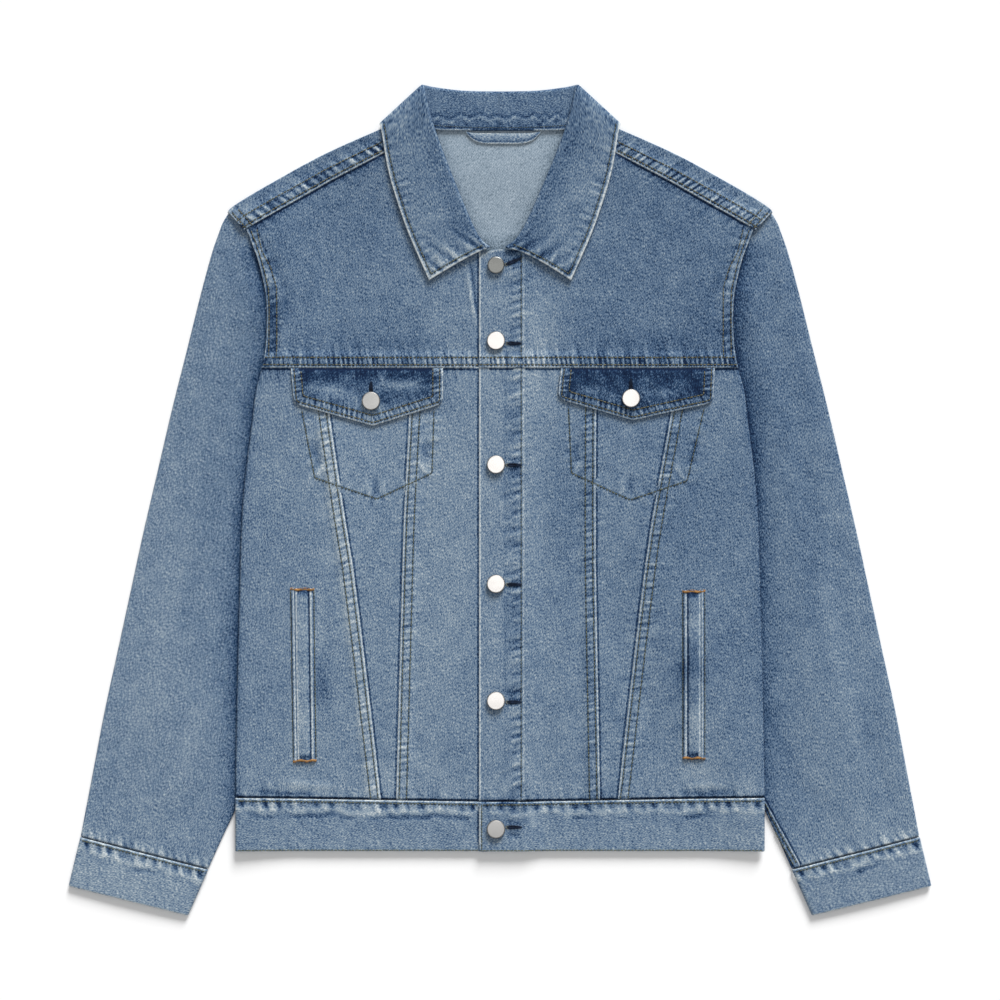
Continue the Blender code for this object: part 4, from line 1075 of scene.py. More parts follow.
def make_sleeve(side):
    sign = SIGN[side]
    spans = ((0.0, 0.15, 49), (0.15, 0.9, 126), (0.9, 1.0, 33))
    down = np.concatenate([[0.0]] + [np.linspace(*span)[1:] for span in spans])
    y_out = mix(SLEEVE_OUTER[0, 0], SLEEVE_OUTER[-1, 0], down)
    y_in = mix(SLEEVE_INNER[0, 0], SLEEVE_INNER[-1, 0], down)
    outer = np.column_stack((across(SLEEVE_OUTER, y_out), y_out))
    inner = np.column_stack((across(SLEEVE_INNER, y_in), y_in))
    width = np.linalg.norm(inner - outer, axis=1)
    body = np.maximum(across(BODY_EDGE, y_in) + 1.5, inner[:, 0] + 7.0)
    in_sight = (outer[:, 0] - body) / width
    base = ON_FRONT
    seams = [CUFF_TOP[side], GATHERS[side]] + [WRIST] * (side == "left")

    def relief(x, y):
        height, wash = ripples(seams, x, y)
        more, more_wash = creased(SLEEVE_CREASES, x, y)
        # ruffles stand in the cloth above the cuff
        along, away = beside(CUFF_TOP[side].line, x, y)
        ruffle = ripple(101 + sign, along + 0.4 * away, 8.0) + 0.3
        wash = wash + 0.27 * ruffle * bell((away + 3.0) / 5.5)
        # a paler line along the cuff's seam: painted light that eases the shade in the gap between sleeve and
        # cuff
        wash = wash + 0.2 * bell(away / 1.8)
        return height + more, wash + more_wash + patched(SLEEVE_PATCHES, x, y)

    def z_top(x, y, share):
        limit = in_sight[:, None]
        slack = sleeve_slack(clamp(share / limit), down[:, None] + 0 * share, y)
        lift = np.where(share > limit, armhole_lift(1.0, y), slack)
        return base + CLOTH / 2 + lift + relief(x, y)[0] * fade((share - limit) / 0.06)

    def wash_of(x, y, share):
        # painted shadow of the body on the sleeve beside it, fading out toward the shoulder
        beside_body = np.maximum(np.abs(x) - across(BODY_EDGE, y), 0.0)
        body_shadow = np.exp(-beside_body / 8.0) + 0.25 * np.exp(-beside_body / 32.0)
        shade = 0.32 if side == "right" else mix(0.26, 0.4, clamp((y + 40.0) / 100.0))
        return relief(x, y)[1] + 0.01 - shade * body_shadow * fade((y - 225.0) / 25.0)

    make_tube(
        "sleeve_top_" + side, side, outer, inner, z_top, base + 0.1, THIN, 2.3, wash_of, (face, reverse),
        seams=[CUFF_TOP[side]] + [WRIST] * (side == "left"),
    )
    coarse = np.append(np.arange(0, len(outer) - 1, 3), len(outer) - 1)

    def z_under(x, y, share):
        lift = 0.5 * creased(SLEEVE_CREASES, -x, y)[0] * clamp(8 * share * (1 - share) - 0.4)
        return CLOTH / 2 + np.clip(lift, 0.0, 0.3)

    make_tube(
        "sleeve_under_" + side, side, outer[coarse], inner[coarse], z_under, 0.0, THIN, 6.0,
        lambda x, y, share: relief(-x, y)[1], (reverse, face), seams=[CUFF_TOP[side]], below=True,
    )


def make_cuff(side):
    sign = SIGN[side]
    down = places(47.0, 1.9, THICK, THICK) / 47.0
    outer = mix(np.array(CUFF_OUTER_TOP), np.array(CUFF_OUTER_END), down[:, None])
    inner = mix(np.array(CUFF_INNER_TOP), np.array(CUFF_INNER_END), down[:, None])
    base = BAND + GAP
    seams = [CUFF_TOP[side], CUFF_END[side]]

    def z_top(x, y, share):
        return base + EASE + 0.8 * np.sin(math.pi * share) + BAND / 2 + ripples(seams, x, y)[0]

    def wash_of(x, y, share):
        return ripples(seams, x, y)[1] + 0.05 - 0.03 * sign

    def z_under(x, y, share):
        return BAND / 2 + 0 * x

    more = (wash_of, (face, face), True, seams)
    make_tube("cuff_top_" + side, side, outer, inner, z_top, base + 0.2, THICK, 1.9, *more)
    make_tube("cuff_under_" + side, side, outer, inner, z_under, 0.0, THICK, 3.0, *more, True)


def make_back():
    ys = BACK_SEAM - places(BACK_SEAM - WAIST_TOP - GAP, 6.0, 0.0, 0.0)
    shares = np.linspace(-1.0, 1.0, 85)
    x = across(BACK_EDGE, ys)[:, None] * shares[None, :]
    y = np.repeat(ys[:, None], len(shares), 1)
    lift, wash = back_relief(x, y)
    points = np.stack((x, y, rise(x, y) + CLOTH / 2 + lift), -1)
    seams = [BACK_YOKE, WAIST, *BACK_SIDE.values()]
    make_cloth("back_panel", points, THIN, wash, points[..., :2], (reverse, face), "laid", seams, True)
    ys = WAIST_TOP - places(WAIST_TOP - HEM, 3.0, THICK, THICK)
    half = WAIST_HALF - BAND - GAP - EASE
    x, y = np.meshgrid(half * np.linspace(-1.0, 1.0, 121), ys)
    lift, wash = back_relief(x, y)
    points = np.stack((x, y, rise(x, y) + BAND / 2 + 0.4 * lift), -1)
    seams = [WAIST, HEMLINE]
    make_cloth("waistband_back", points, THICK, wash, points[..., 1::-1], (face, face), "folded", seams, True)


def make_back_yoke():
    """Columns run from the front seam of the shoulder strip over the fold and down the back.

    Between the shoulders there is no strip, and the columns start at the neck.
    """
    along = np.concatenate(([0.0], np.linspace(0.004, 1.0, 88)))
    fold_x, fold_y, seam_x, seam_y = spline(SHOULDERS, along).T
    strip = np.concatenate((places(20.0, 1.7, THIN, 0.0)[:-1] / 20.0 * 0.95, [0.95, 0.975]))[:, None]
    x, y = mix(seam_x, fold_x, strip), mix(seam_y, fold_y, strip)
    beside_collar = clamp((x - 112.0) / 12.0)
    from_seam = np.hypot(x - seam_x, y - seam_y)
    level = front(x, y) + beside_collar * lapped(from_seam) + CLOTH / 2
    middle_x = np.linspace(0.0, 79.8, 24)
    middle_y = 350.0 + 8.0 * (1 - fade((middle_x - 56.0) / 22.0))
    top_x, top_y = np.concatenate((middle_x, fold_x)), np.concatenate((middle_y, fold_y - CLOTH / 2))
    share = top_x / SHOULDER_HALF
    down = np.array([0.02, 0.06, 0.12, 0.18, *np.linspace(0.25, 1.0, 19)])[:, None]
    back_y = mix(top_y, BACK_SEAM, down)
    back_x = top_x + (across(BACK_EDGE, back_y) * share - top_x) * np.minimum(1.0, 12.0 * down)
    back_z = rise(back_x, back_y) + CLOTH / 2

    def half(sign):
        relief, wash = body_relief(sign * x, y)
        z, wash = level + relief, wash - 0.1
        low, high = rise(fold_x, fold_y) + CLOTH / 2, z[-1]
        turn = np.radians([60.0, 30.0, 0.0, -30.0, -60.0])[:, None]
        turn_z = (low + high) / 2 + (high - low) / 2 * np.sin(turn)
        turn_y = fold_y - CLOTH / 2 - 0.7 * (1 - np.cos(turn))
        over_fold = np.repeat(fold_x[None], 5, 0), turn_y, turn_z, np.repeat(wash[-1:], 5, 0)
        middle = middle_x, middle_y, rise(middle_x, middle_y) + CLOTH / 2, 0 * middle_x
        down_back = back_x, back_y, back_z, inner_wash(sign * back_x, back_y)
        columns = []
        parts = zip((x, y, z, wash), over_fold, middle, down_back)
        for strip_part, fold_part, middle_part, back_part in parts:
            outer_part = np.concatenate((strip_part, fold_part))
            inner_part = np.repeat(middle_part[None], len(outer_part), 0)
            columns.append(np.concatenate((np.concatenate((inner_part, outer_part), 1), back_part)))
        return np.stack((columns[0] * sign, columns[1], columns[2]), -1), columns[3]

    left, left_wash = half(1.0)
    right, right_wash = half(-1.0)
    points = np.concatenate((right[:, :0:-1], left), 1)
    wash = np.concatenate((right_wash[:, :0:-1], left_wash), 1)
    strips = [*STRIP.values(), *STRIP_END.values()]
    on_top, kinds = seam_map(strips, points[..., 0], points[..., 1])
    behind = slice(len(x) + 3, None)
    low_map, low_kinds = seam_map([BACK_YOKE, *BACK_ARMHOLE.values()], points[..., 0], points[..., 1])
    on_top[behind], kinds[behind] = low_map[behind], low_kinds[behind]
    outside = wash.copy()
    outside[behind] = back_relief(points[behind, :, 0], points[behind, :, 1])[1] - 0.04
    piece = make_cloth(
        "back_yoke", points, THIN, wash, points[..., :2], (reverse, face), "folded", (on_top, kinds), True,
        outside,
    )
    # points in one place become one point
    cloth = bmesh.new()
    cloth.from_mesh(piece.data)
    bmesh.ops.remove_doubles(cloth, verts=cloth.verts, dist=2e-6)
    bmesh.ops.dissolve_degenerate(cloth, edges=cloth.edges, dist=2e-6)
    cloth.to_mesh(piece.data)
    cloth.free()


def inner_wash(x, y):
    """Painted shade on the back's inner side: along the collar's roll, stronger on the left, under its stand
    and toward the bottom of the opening.
    """
    roll = COLLAR[4:, 3:5][::-1]
    beside_roll = across(roll[:, ::-1], np.clip(y, 234.6, 385.0)) - np.abs(x)
    strength = np.where(x > 0, 0.34, 0.2)
    below_stand = fade((343.5 - y) / 5.0) * (y < 345.0)
    low = fade((y - 236.0) / 14.0)
    return -strength * np.exp(-np.maximum(beside_roll, 0.0) / 5.5) - 0.2 * below_stand - 0.2 * low


def make_collar():
    coarse = spline(COLLAR, np.linspace(0.0, 1.0, 400))
    path = (coarse[:, 0:2] + coarse[:, 6:8]) / 2
    length = distances(path)
    wanted = places(length[-1], 1.8, 0.0, DOUBLE)
    share = np.interp(wanted, length, np.linspace(0.0, 1.0, 400))
    section = spline(COLLAR, share)
    halves = []
    for sign in (-1.0, 1.0):
        shift = sign * CLOSURE * (np.maximum(share - 0.6, 0.0) / 0.4) ** 2
        neck, roll, edge = section[:, 0:3], section[:, 3:6].copy(), section[:, 6:9]
        roll[:, 0] += shift
        turn = np.radians(section[:, 9])
        back = (neck[:, :2] + edge[:, :2]) / 2 - roll[:, :2]
        away = -back / np.linalg.norm(back, axis=1)[:, None]
        beside_roll = np.stack((away[:, 1], -away[:, 0]), 1)
        bend = []
        for angle in np.radians(np.linspace(-90.0, 90.0, 9)):
            out, over = math.cos(angle) - 1, math.sin(angle)
            flat = (ROLL * over * np.cos(turn))[:, None]
            level = roll[:, :2] + ROLL * out * away + flat * beside_roll
            bend.append(np.column_stack((level, roll[:, 2] + ROLL * over * np.sin(turn))))
        stand_steps = places(38.0, 1.9, DOUBLE, 0.0)[:-1] / 38.0
        fall_steps = places(68.0, 1.8, 0.0, DOUBLE)[1:] / 68.0
        standing = [mix(neck, bend[0], t) for t in stand_steps]
        falling = [mix(bend[-1], edge, t) for t in fall_steps]
        points = np.stack(standing + bend + falling, 1)
        fall = slice(len(stand_steps) + len(bend), None)
        turned = (section[:, 9] > 0.8)[:, None]
        x, y, z = (points[:, fall, k] for k in range(3))
        lowest = front(x, y) + ON_FRONT + FOLDED / 2
        points[:, fall, 2] = np.where(turned, np.maximum(z, lowest + 0.15), z)
        from_front = (length[-1] - wanted)[:, None]
        steps = np.linalg.norm(np.diff(points, axis=1), axis=2).cumsum(1)
        from_neck = np.concatenate((np.zeros((len(points), 1)), steps), 1)
        from_edge = from_neck[:, -1:] - from_neck
        on_fall = np.zeros(points.shape[:2])
        on_fall[:, fall] = 1.0
        down_fall = (from_neck - from_neck[:, fall][:, :1]) / (from_neck[:, -1:] - from_neck[:, fall][:, :1])
        bow = np.sin(math.pi * clamp(down_fall) ** 0.7) * np.exp(-from_front / 16.0) * on_fall
        points[..., 1] += FRONT_BOW[sign] * bow
        seen = clamp(section[:, 9] / 40.0)[:, None]
        relief, wash = collar_relief(from_front, from_edge, from_neck, wanted[:, None], on_fall, seen, sign)
        points[..., 2] += relief
        points[..., 0] *= sign
        grain = np.stack((from_neck, wanted[:, None] + 0 * from_neck), -1)
        grain[..., 0] += 500.0 * sign
        beside_front = from_front + 0 * from_edge
        of_front = (beside_front < from_edge) & (on_fall > 0)
        inside = np.where(of_front, beside_front, np.where(on_fall > 0, from_edge, 99.0))
        on_stand = (on_fall == 0) & (from_neck < 22.0)
        inside = np.where(on_stand, from_neck - 1.0, inside)
        along = np.where(of_front, from_edge + 900.0, wanted[:, None] + sign * 700.0 + 0 * from_edge)
        halves.append((points, wash, grain, np.stack((along, inside * FIRST_ROW / COLLAR_ROW), -1), on_stand))
    joined = [np.concatenate((a[:0:-1], b)) for a, b in zip(*halves)]
    points, wash, grain, edge_map, on_stand = joined
    kinds = np.where(corners(on_stand)[..., None], (0.0, 0.0, 0.0, 0.0), (0.35, 0.5, 1.2, 0.0))
    make_cloth("collar", points, DOUBLE, wash, grain, (face, face), "folded", (corners(edge_map), kinds))


def collar_relief(from_front, from_edge, from_neck, along, on_fall, seen, sign):
    """Height and wash of the collar, from distances along the cloth."""
    near_front = from_front + 0 * from_edge
    front_wave = ripple(61 + sign, from_edge + 0.3 * near_front, 7.0)
    front_strength = bell(near_front / 9.0) * on_fall
    streak = ripple(65 + sign, from_edge + 0.5 * near_front, 13.0)
    streak_strength = bell(near_front / 26.0) * on_fall
    edge_wave = ripple(69 + sign, along + 0.3 * from_edge, 8.0)
    edge_strength = bell(from_edge / 7.0) * on_fall * seen
    stand_wave = ripple(73, along * sign + 0.6 * from_neck, 11.0)
    stand_strength = bell((from_neck - 6.5) / 3.0) * (1 - on_fall)
    # one long wave in the stand, worn on its crest, with painted shade in the hollows beside it
    crest = from_neck - 10.6 - 3.0 * ripple(77, along * sign, 19.0)
    swell = bell(crest / 1.5) * (1 - on_fall) * (0.85 + 0.35 * ripple(83, along * sign, 21.0))
    hollow = bell((crest - 3.1) / 1.6) * (1 - on_fall)
    deeper = 0.5 + 0.6 * ripple(79, along * sign, 19.0)
    hollow += bell((crest + 4.2) / 2.6) * (1 - on_fall) * deeper
    tip = bell(near_front / 20.0) * on_fall * (0.55 - 1.3 * sign)
    height = (
        0.22 * front_wave * front_strength + 0.3 * streak * streak_strength
        + 0.14 * edge_wave * edge_strength + 0.12 * stand_wave * stand_strength + 0.35 * swell
    )
    height *= clamp(from_front / 3.0) * clamp(from_edge / 3.0)
    wash = (
        0.3 * front_wave * front_strength + 0.38 * streak * streak_strength + 0.1 * tip
        + 0.09 * edge_wave * edge_strength + (0.06 + 0.12 * stand_wave) * stand_strength
        + 0.26 * swell - 0.2 * hollow
    )
    wash -= 0.06 * fade((from_neck - 10.0) / 10.0) * (1 - on_fall)
    # its lower edge is worn pale, but for where the hanger loop lies against it
    free = 1 - fade((np.abs(along - 2.8 * sign) - 31.0) / 5.0)
    wash += bell((from_neck - 0.7) / 0.9) * (0.65 * free - 0.2) * (1 - on_fall)
    # painted shade of the neck seam, just above its pale edge
    wash -= 0.24 * bell(from_neck - 2.8) * (1 - on_fall)
    # painted shade on the fall beside its roll
    beside_roll = np.exp(-(np.maximum(from_neck - from_neck.max() * 0.36, 0.0) / 9.0)) * on_fall
    return height, wash - 0.05 - 0.085 * (1 - on_fall) - 0.1 * beside_roll


def make_hanger_loop():
    """A folded strip whose ends go up into the neck seam."""
    xs = places(70.0, 1.5, THIN, THIN) - 32.0
    from_middle = np.abs(xs - 3.0) / 35.0
    top = 341.2 + 2.2 * from_middle**6
    low = 331.3 + 11.2 * from_middle**5
    down = places(9.6, 0.9, THIN, THIN)[:, None] / 9.6
    x, y = np.repeat(xs[None], len(down), 0), mix(top, low, down)
    z = rise(x, y) + CLOTH + GAP + CLOTH / 2 + 0.25 * np.sin(down * math.pi)
    from_low = y - low
    wash = 0.02 + 0.42 * bell(from_low) - 0.3 * bell((from_low - 2.4) / 0.9)
    wash += 0.24 * bell((y - top) / 2.4) - 0.25 * np.clip(from_middle - 0.8, 0.0, 0.2) / 0.2
    grain = np.stack((y, x), -1)
    make_cloth("hanger_loop", np.stack((x, y, z), -1), THIN, wash, grain, (face, face), "laid")


def make_flap(side):
    sign = SIGN[side]
    inner_top, outer_top, inner_low, point, outer_low = (np.array(p) for p in FLAPS[side])
    shares = places(143.0, 1.75, DOUBLE, DOUBLE) / 143.0
    low = np.where(
        shares[:, None] <= 0.5, mix(inner_low, point, 2 * shares[:, None]),
        mix(point, outer_low, 2 * shares[:, None] - 1),
    )
    top = mix(inner_top, outer_top, shares[:, None])
    down = places(38.0, 1.5, DOUBLE, DOUBLE)[:, None, None] / 38.0
    # rounded lower corners
    from_side = np.minimum(low[:, 0] - low[0, 0], low[-1, 0] - low[:, 0])
    low[:, 1] += 7.0 * (1 - np.sqrt(1 - (1 - clamp(from_side / 7.0)) ** 2))
    grid = mix(top, low, down)
    x, y = grid[..., 0], grid[..., 1]
    outline = sided((inner_top, inner_low, point, outer_low, outer_top), sign)
    along, inside = beside(outline, sign * x, y)
    inside = np.abs(inside)
    wave = ripple(81 + sign, along + 0.3 * inside, 9.0)
    strength = bell((inside - 6.0) / 5.0)
    puff = ripple(85 + sign, x + 0.6 * y, 24.0) * clamp((inside - 8.0) / 6.0)
    relief = body_relief(sign * x, y)[0] * 0.4
    tucked = 0.9 * fade((122.7 - y) / 3.0)
    z = front(x, y) + CLOTH + GAP + EASE + FOLDED / 2 + relief + 0.22 * wave * strength + 0.25 * puff - tucked
    high, low_down, base = (0.38, 0.2, -0.06) if side == "right" else (0.3, 0.26, -0.17)
    dark = mix(low_down, high, 1 - fade((y - 103.0) / 14.0)) * clamp((y - 78.0) / 20.0)
    dark *= clamp((inside - 1.0) / 11.0)
    wash = base - dark + 0.05 * wave * strength + 0.05 * puff
    wash += 1.2 * patched(FLAP_CLOUDS[side], sign * x, y) * clamp((inside - 7.0) / 4.0)
    # ridges of cloth caught under the yoke, and finer folds down to the point
    wash += bell((y - 119.4) / 1.3) * (0.14 + 0.16 * ripple(141 + sign, x, 22.0))
    finer = ripple(143 + sign, 0.7 * x + 1.3 * y, 8.0) * (0.6 + 0.5 * ripple(147 + sign, x - 0.5 * y, 15.0))
    wash += 0.1 * finer * clamp((inside - 8.0) / 4.0)
    edge = Seam(outline[::-1] if sign < 0 else outline, 3, 9.4, 2, 0.8, 0.8, 0, 0, 0, 0, 0, 0, 5, 0.2)
    finish_cloth(
        "flap_" + side, x, y, z, DOUBLE, wash, sign, finish=(face, face), held="folded", seams=[edge, YOKE]
    )


def make_welt(side):
    sign = SIGN[side]
    top, low, inner_top, outer_top, inner_low, outer_low = WELTS[side]
    ys = top - places(top - low, 1.9, THIN, THIN)
    t = (top - ys) / (top - low)
    inner, outer = mix(inner_top, inner_low, t), mix(outer_top, outer_low, t)
    shares, lift, tone = WELT_PROFILE.T
    x = inner[:, None] + (outer - inner)[:, None] * shares[None, :]
    y = np.repeat(ys[:, None], len(shares), 1)
    end = np.minimum(top - y, y - low)
    strip = (shares > 0.25) & (shares < 0.74)
    relief, wash = body_relief(sign * x, y)
    wave = ripple(91 + sign, y, 7.0)
    sunk = clamp((end - 4.0) / 2.0)
    z = front(x, y) + CLOTH + GAP + EASE + CLOTH / 2 + mix(0.0, lift, sunk) + relief + 0.08 * wave * ~strip
    # the strip is darker where it sinks at its ends, and the frame near its ends: painted shade
    wash = wash + tone + 0.05 * wave - np.where(strip, 0.45 * fade((end - 4.0) / 5.0), 0.1 * fade(end / 3.0))
    wash += strip * (0.12 * ripple(95 + sign, y, 45.0) + 0.08)
    finish_cloth("welt_" + side, x, y, z, THIN, wash, sign)


# ---------------------------------------------------------------- thread


def drop_on(nodes, x, y, way=-1.0):
    """The outermost point of these cloths at a place, and how it faces. way is +1 to look from below."""
    best = None
    for node in nodes:
        spot, normal, _, _ = cloths[node].ray_cast(Vector((x * MM, y * MM, -0.1 * way)), Vector((0, 0, way)))
        if spot is not None and (best is None or spot.z * way < best[0].z * way):
            best = (spot, normal)
    return best


def stitch_shape():
    """One stitch along X, 1 mm long before it is scaled: a short bar that dives at both ends."""
    bpy.ops.object.select_all(action="DESELECT")
    bpy.ops.mesh.primitive_cylinder_add(vertices=5, radius=0.5, depth=1.0, rotation=(0.0, math.pi / 2, 0.0))
    bar = bpy.context.object
    bpy.ops.object.transform_apply(location=True, rotation=True, scale=True)
    bpy.ops.object.mode_set(mode="EDIT")
    bpy.ops.mesh.select_all(action="DESELECT")
    bpy.ops.mesh.select_mode(type="FACE")
    bpy.ops.object.mode_set(mode="OBJECT")
    for polygon in bar.data.polygons:
        polygon.select = abs(polygon.normal.x) > 0.9
    bpy.ops.object.mode_set(mode="EDIT")
    bpy.ops.mesh.extrude_faces_move()
    bpy.ops.object.mode_set(mode="OBJECT")
    points = np.array([v.co for v in bar.data.vertices])
    ends = np.array([v.select for v in bar.data.vertices])
    points[~ends, 0] *= 0.55
    points[ends, 1] *= 0.5
    points[ends, 2] = points[ends, 2] * 0.4 - 0.75
    faces = [list(p.vertices) for p in bar.data.polygons]
    bpy.data.objects.remove(bar)
    return points, faces


STITCH, STITCH_FACES = stitch_shape()
UP = Vector((0.0, 0.0, 1.0))
# How far inside their seams the rows of stitches are
YOKE_ROWS = (2.9, 9.7)
SIDE_ROWS = (2.7, 9.6)
FLAP_ROWS = (3.0, 9.4)
WRIST_ROWS = (2.0, 5.4)
BAND_ROWS = (WAIST_TOP - 2.7, HEM + 1.2)  # y, along the waistband


def lay_stitch(parts, ends, up, thick, sink):
    """A stitch between two points on the cloth, added to a list of stitches."""
    (a, _), (b, _) = ends
    middle, along = (a + b) / 2, b - a
    length = along.length
    along.normalize()
    side = up.cross(along).normalized()
    top = along.cross(side)
    scaled = STITCH * np.array([length, thick * MM, thick * MM])
    parts.append(scaled @ np.array([along, side, top]) + np.array(middle + top * (0.5 - sink) * thick * MM))


def thread_piece(name, parts, finish):
    count = len(STITCH)
    faces = [[v + k * count for v in f] for k in range(len(parts)) for f in STITCH_FACES]
    mesh = bpy.data.meshes.new(name)
    mesh.from_pydata(np.concatenate(parts).tolist(), [], faces)
    mesh.polygons.foreach_set("use_smooth", np.ones(len(faces), bool))
    mesh.materials.append(finish)
    worn_piece(name, mesh)


HAND = random.Random(5)  # one run of small errors for all the rows


def sew(parts, line, nodes, pitch=3.2, fill=0.95, thick=0.98, way=-1.0, sink=0.15):
    """A row of stitches along a line of x, y, on the outermost of these cloths."""
    line = np.array(line, float)
    length = distances(line)
    count = max(1, round(length[-1] / pitch))
    step = length[-1] / count
    for k in range(count):
        start = (k + (1 - fill) / 2 + HAND.uniform(-0.05, 0.05)) * step
        ends = []
        for place in (start, start + fill * step * HAND.uniform(0.9, 1.08)):
            x, y = (np.interp(place, length, line[:, i]) + HAND.uniform(-0.12, 0.12) for i in (0, 1))
            ends.append(drop_on(nodes, x, y, way))
        if all(ends):
            lay_stitch(parts, ends, ends[0][1], thick * HAND.uniform(0.9, 1.1), sink)


def offset_line(line, distance):
    """The line moved to its left by a distance, its corners mitred."""
    line = np.array(line, float)
    step = unit(np.diff(line, axis=0))
    normals = np.stack((-step[:, 1], step[:, 0]), 1)
    moved = [line[0] + normals[0] * distance]
    for k in range(1, len(line) - 1):
        both = normals[k - 1] + normals[k]
        moved.append(line[k] + both / (both @ both) * 2 * distance)
    moved.append(line[-1] + normals[-1] * distance)
    return moved


def cuff_row(sign, trim):
    """The row inside a cuff's upper edge, short of its ends by a share of its length."""
    a = mix(np.array(CUFF_OUTER_TOP), np.array(CUFF_OUTER_END), 0.05) * (sign, 1)
    b = mix(np.array(CUFF_INNER_TOP), np.array(CUFF_INNER_END), 0.05) * (sign, 1)
    return [mix(a, b, trim), mix(a, b, 1 - trim)]


def sew_body():
    for side, sign in SIGN.items():
        tan, olive = [], []
        yoke = ["front_yoke_left", "front_yoke_right"]
        first = BAND_EDGE if side == "left" else BAND_EDGE - 0.8
        for height in YOKE_ROWS:
            span = sorted((first, sign * (220.0 + 0.2 * height)))
            sew(tan, [(span[0], YOKE_SEAM + height), (span[1], YOKE_SEAM + height)], yoke)
        for row in ARMHOLE_ROWS:
            sew(tan, sided(row, sign), ["front_yoke_" + side])
        ys = np.linspace(100.0, WAIST_TOP + 1.0, 26)
        for seam, way, node in ((0, -1.0, "front_panel_"), (1, 1.0, "side_front_")):
            for inside in SIDE_ROWS:
                sew(olive, sided(zip(vee(side, seam, ys) + way * inside, ys), sign), [node + side])
        panels = [n + side for n in ("front_panel_", "front_insert_", "side_front_")]
        sew(olive, sided(POCKETS[side], sign), panels)
        inner_top, outer_top, inner_low, point, outer_low = FLAPS[side]
        outline = sided((inner_top, inner_low, point, outer_low, outer_top), sign)
        for inside in FLAP_ROWS:
            sew(tan, offset_line(outline, sign * inside), ["flap_" + side])
        if side == "left":
            row, end = BAND_STITCH - 0.8, BAND_EDGE + 2.3
            sew(olive, [(row, NECK_TOP - 1), (row, YOKE_SEAM + 11)], ["front_yoke_left"], thick=0.7)
            sew(olive, [(row, YOKE_SEAM - 1), (row, WAIST_TOP + 1)], ["front_panel_left"], thick=0.7)
            sew(olive, [(end, WAIST_TOP - 2), (end, HEM + 2)], ["waistband_front_left"])
        band = ["waistband_front_left", "waistband_front_right"]
        span = sorted((first, sign * 243.5))
        for y in BAND_ROWS:
            sew(olive, [(span[0], y), (span[1], y)], band)
        sew(olive, cuff_row(sign, 0.02), ["cuff_top_" + side])
        strip = SHOULDERS[1:] * (sign, 1, sign, 1)
        for share in (0.12, 0.46):
            sew(tan, [mix(row[2:], row[:2], share) for row in strip], ["back_yoke"])
        for inward, upward in ((-2.4, 1.2), (-8.0, 4.4)):
            ends = [mix(strip[-1, 2:], strip[-1, :2], t) + (inward * sign, upward) for t in (0.02, 0.9)]
            sew(tan, ends, ["back_yoke"])
        top, low, inner_top, outer_top, inner_low, outer_low = WELTS[side]
        for x_top, x_low in ((inner_top - 0.5, inner_low - 0.5), (outer_top + 0.5, outer_low + 0.5)):
            sew(olive, sided(((x_top, top - 3), (x_low, low + 3)), sign), panels, pitch=2.6)
        if side == "left":
            for inside in WRIST_ROWS:
                start, end = offset_line(WRIST.line[:2], inside)
                sew(olive, [mix(start, end, 0.04), mix(end, start, 0.04)], ["sleeve_top_left"])
        thread_piece("tan_stitching_" + side, tan, tan_thread)
        thread_piece("olive_stitching_" + side, olive, olive_thread)
        tack_welt(side)


def tack_welt(side):
    """Close stitches across both ends of a welt."""
    top, low, inner_top, outer_top, inner_low, outer_low = WELTS[side]
    nodes = [part + side for part in ("front_panel_", "front_insert_", "side_front_", "welt_")]
    tacks = []
    rows = (top - 1.2, -0.4, inner_top, outer_top), (low + 1.2, 0.6, inner_low, outer_low)
    for y, lean, inner, outer in rows:
        for k in range(34):
            x = mix(inner - 0.6, outer + 0.6, k / 33) * SIGN[side]
            y_here = y + lean * math.sin(k * 0.35)
            ends = [drop_on(nodes, x + 0.25 * e, y_here + 1.2 * e) for e in (1, -1)]
            lay_stitch(tacks, ends, UP, 0.8, -0.2)
    thread_piece("bar_tacks_" + side, tacks, orange_thread)


def sew_back():
    """The rows on the hidden side, pressed flat by the jacket's weight."""
    tan, olive = [], []
    pressed = {"pitch": 4.0, "way": 1.0, "thick": 0.8, "sink": 0.7}
    for height in YOKE_ROWS:
        sew(tan, [(-221.0, BACK_SEAM + height), (221.0, BACK_SEAM + height)], ["back_yoke"], **pressed)
    for y in BAND_ROWS:
        sew(olive, [(-239.0, y), (239.0, y)], ["waistband_back"], **pressed)
    for side, sign in SIGN.items():
        for inside in SIDE_ROWS:
            row = offset_line(BACK_SIDE[side].line, inside)
            ends = [mix(row[0], row[1], t) for t in (0.02, 0.98)]
            sew(olive, ends, ["back_panel"], **pressed)
            sew(tan, offset_line(BACK_ARMHOLE[side].line, inside), ["back_yoke"], **pressed)
        sew(olive, cuff_row(sign, 0.03), ["cuff_under_" + side], **pressed)
    thread_piece("back_tan_stitching", tan, tan_thread)
    thread_piece("back_olive_stitching", olive, olive_thread)


def sew_collar():
    rows = []
    share = np.linspace(0.47, 1.0, 60)
    section = spline(COLLAR, share)
    for sign in (1.0, -1.0):
        neck_side = section[:, 3:5] * (sign, 1)
        edge = section[:, 6:8] * (sign, 1)
        inset = edge + unit(neck_side - edge) * COLLAR_ROW
        front_line = mix(edge[-1], neck_side[-1] + (CLOSURE, 0.0), np.linspace(0.06, 0.92, 12)[:, None])
        lift = unit(np.array([[-(neck_side[-1] - edge[-1])[1], (neck_side[-1] - edge[-1])[0]]]))[0] * sign
        front_line = front_line + COLLAR_ROW * lift * np.sign(lift[1])
        down_fall = 1 - np.linspace(0.06, 0.92, 12)
        front_line[:, 1] += 0.75 * FRONT_BOW[sign] * np.sin(math.pi * down_fall**0.7)
        sew(rows, inset[:-3], ["collar"])
        sew(rows, front_line, ["collar"])
    sew(rows, [(x, 346.2 + 0.0006 * x * x) for x in np.linspace(-63.0, 61.0, 12)], ["collar"], 2.2, 0.8, 0.45)
    thread_piece("collar_stitching", rows, olive_thread)


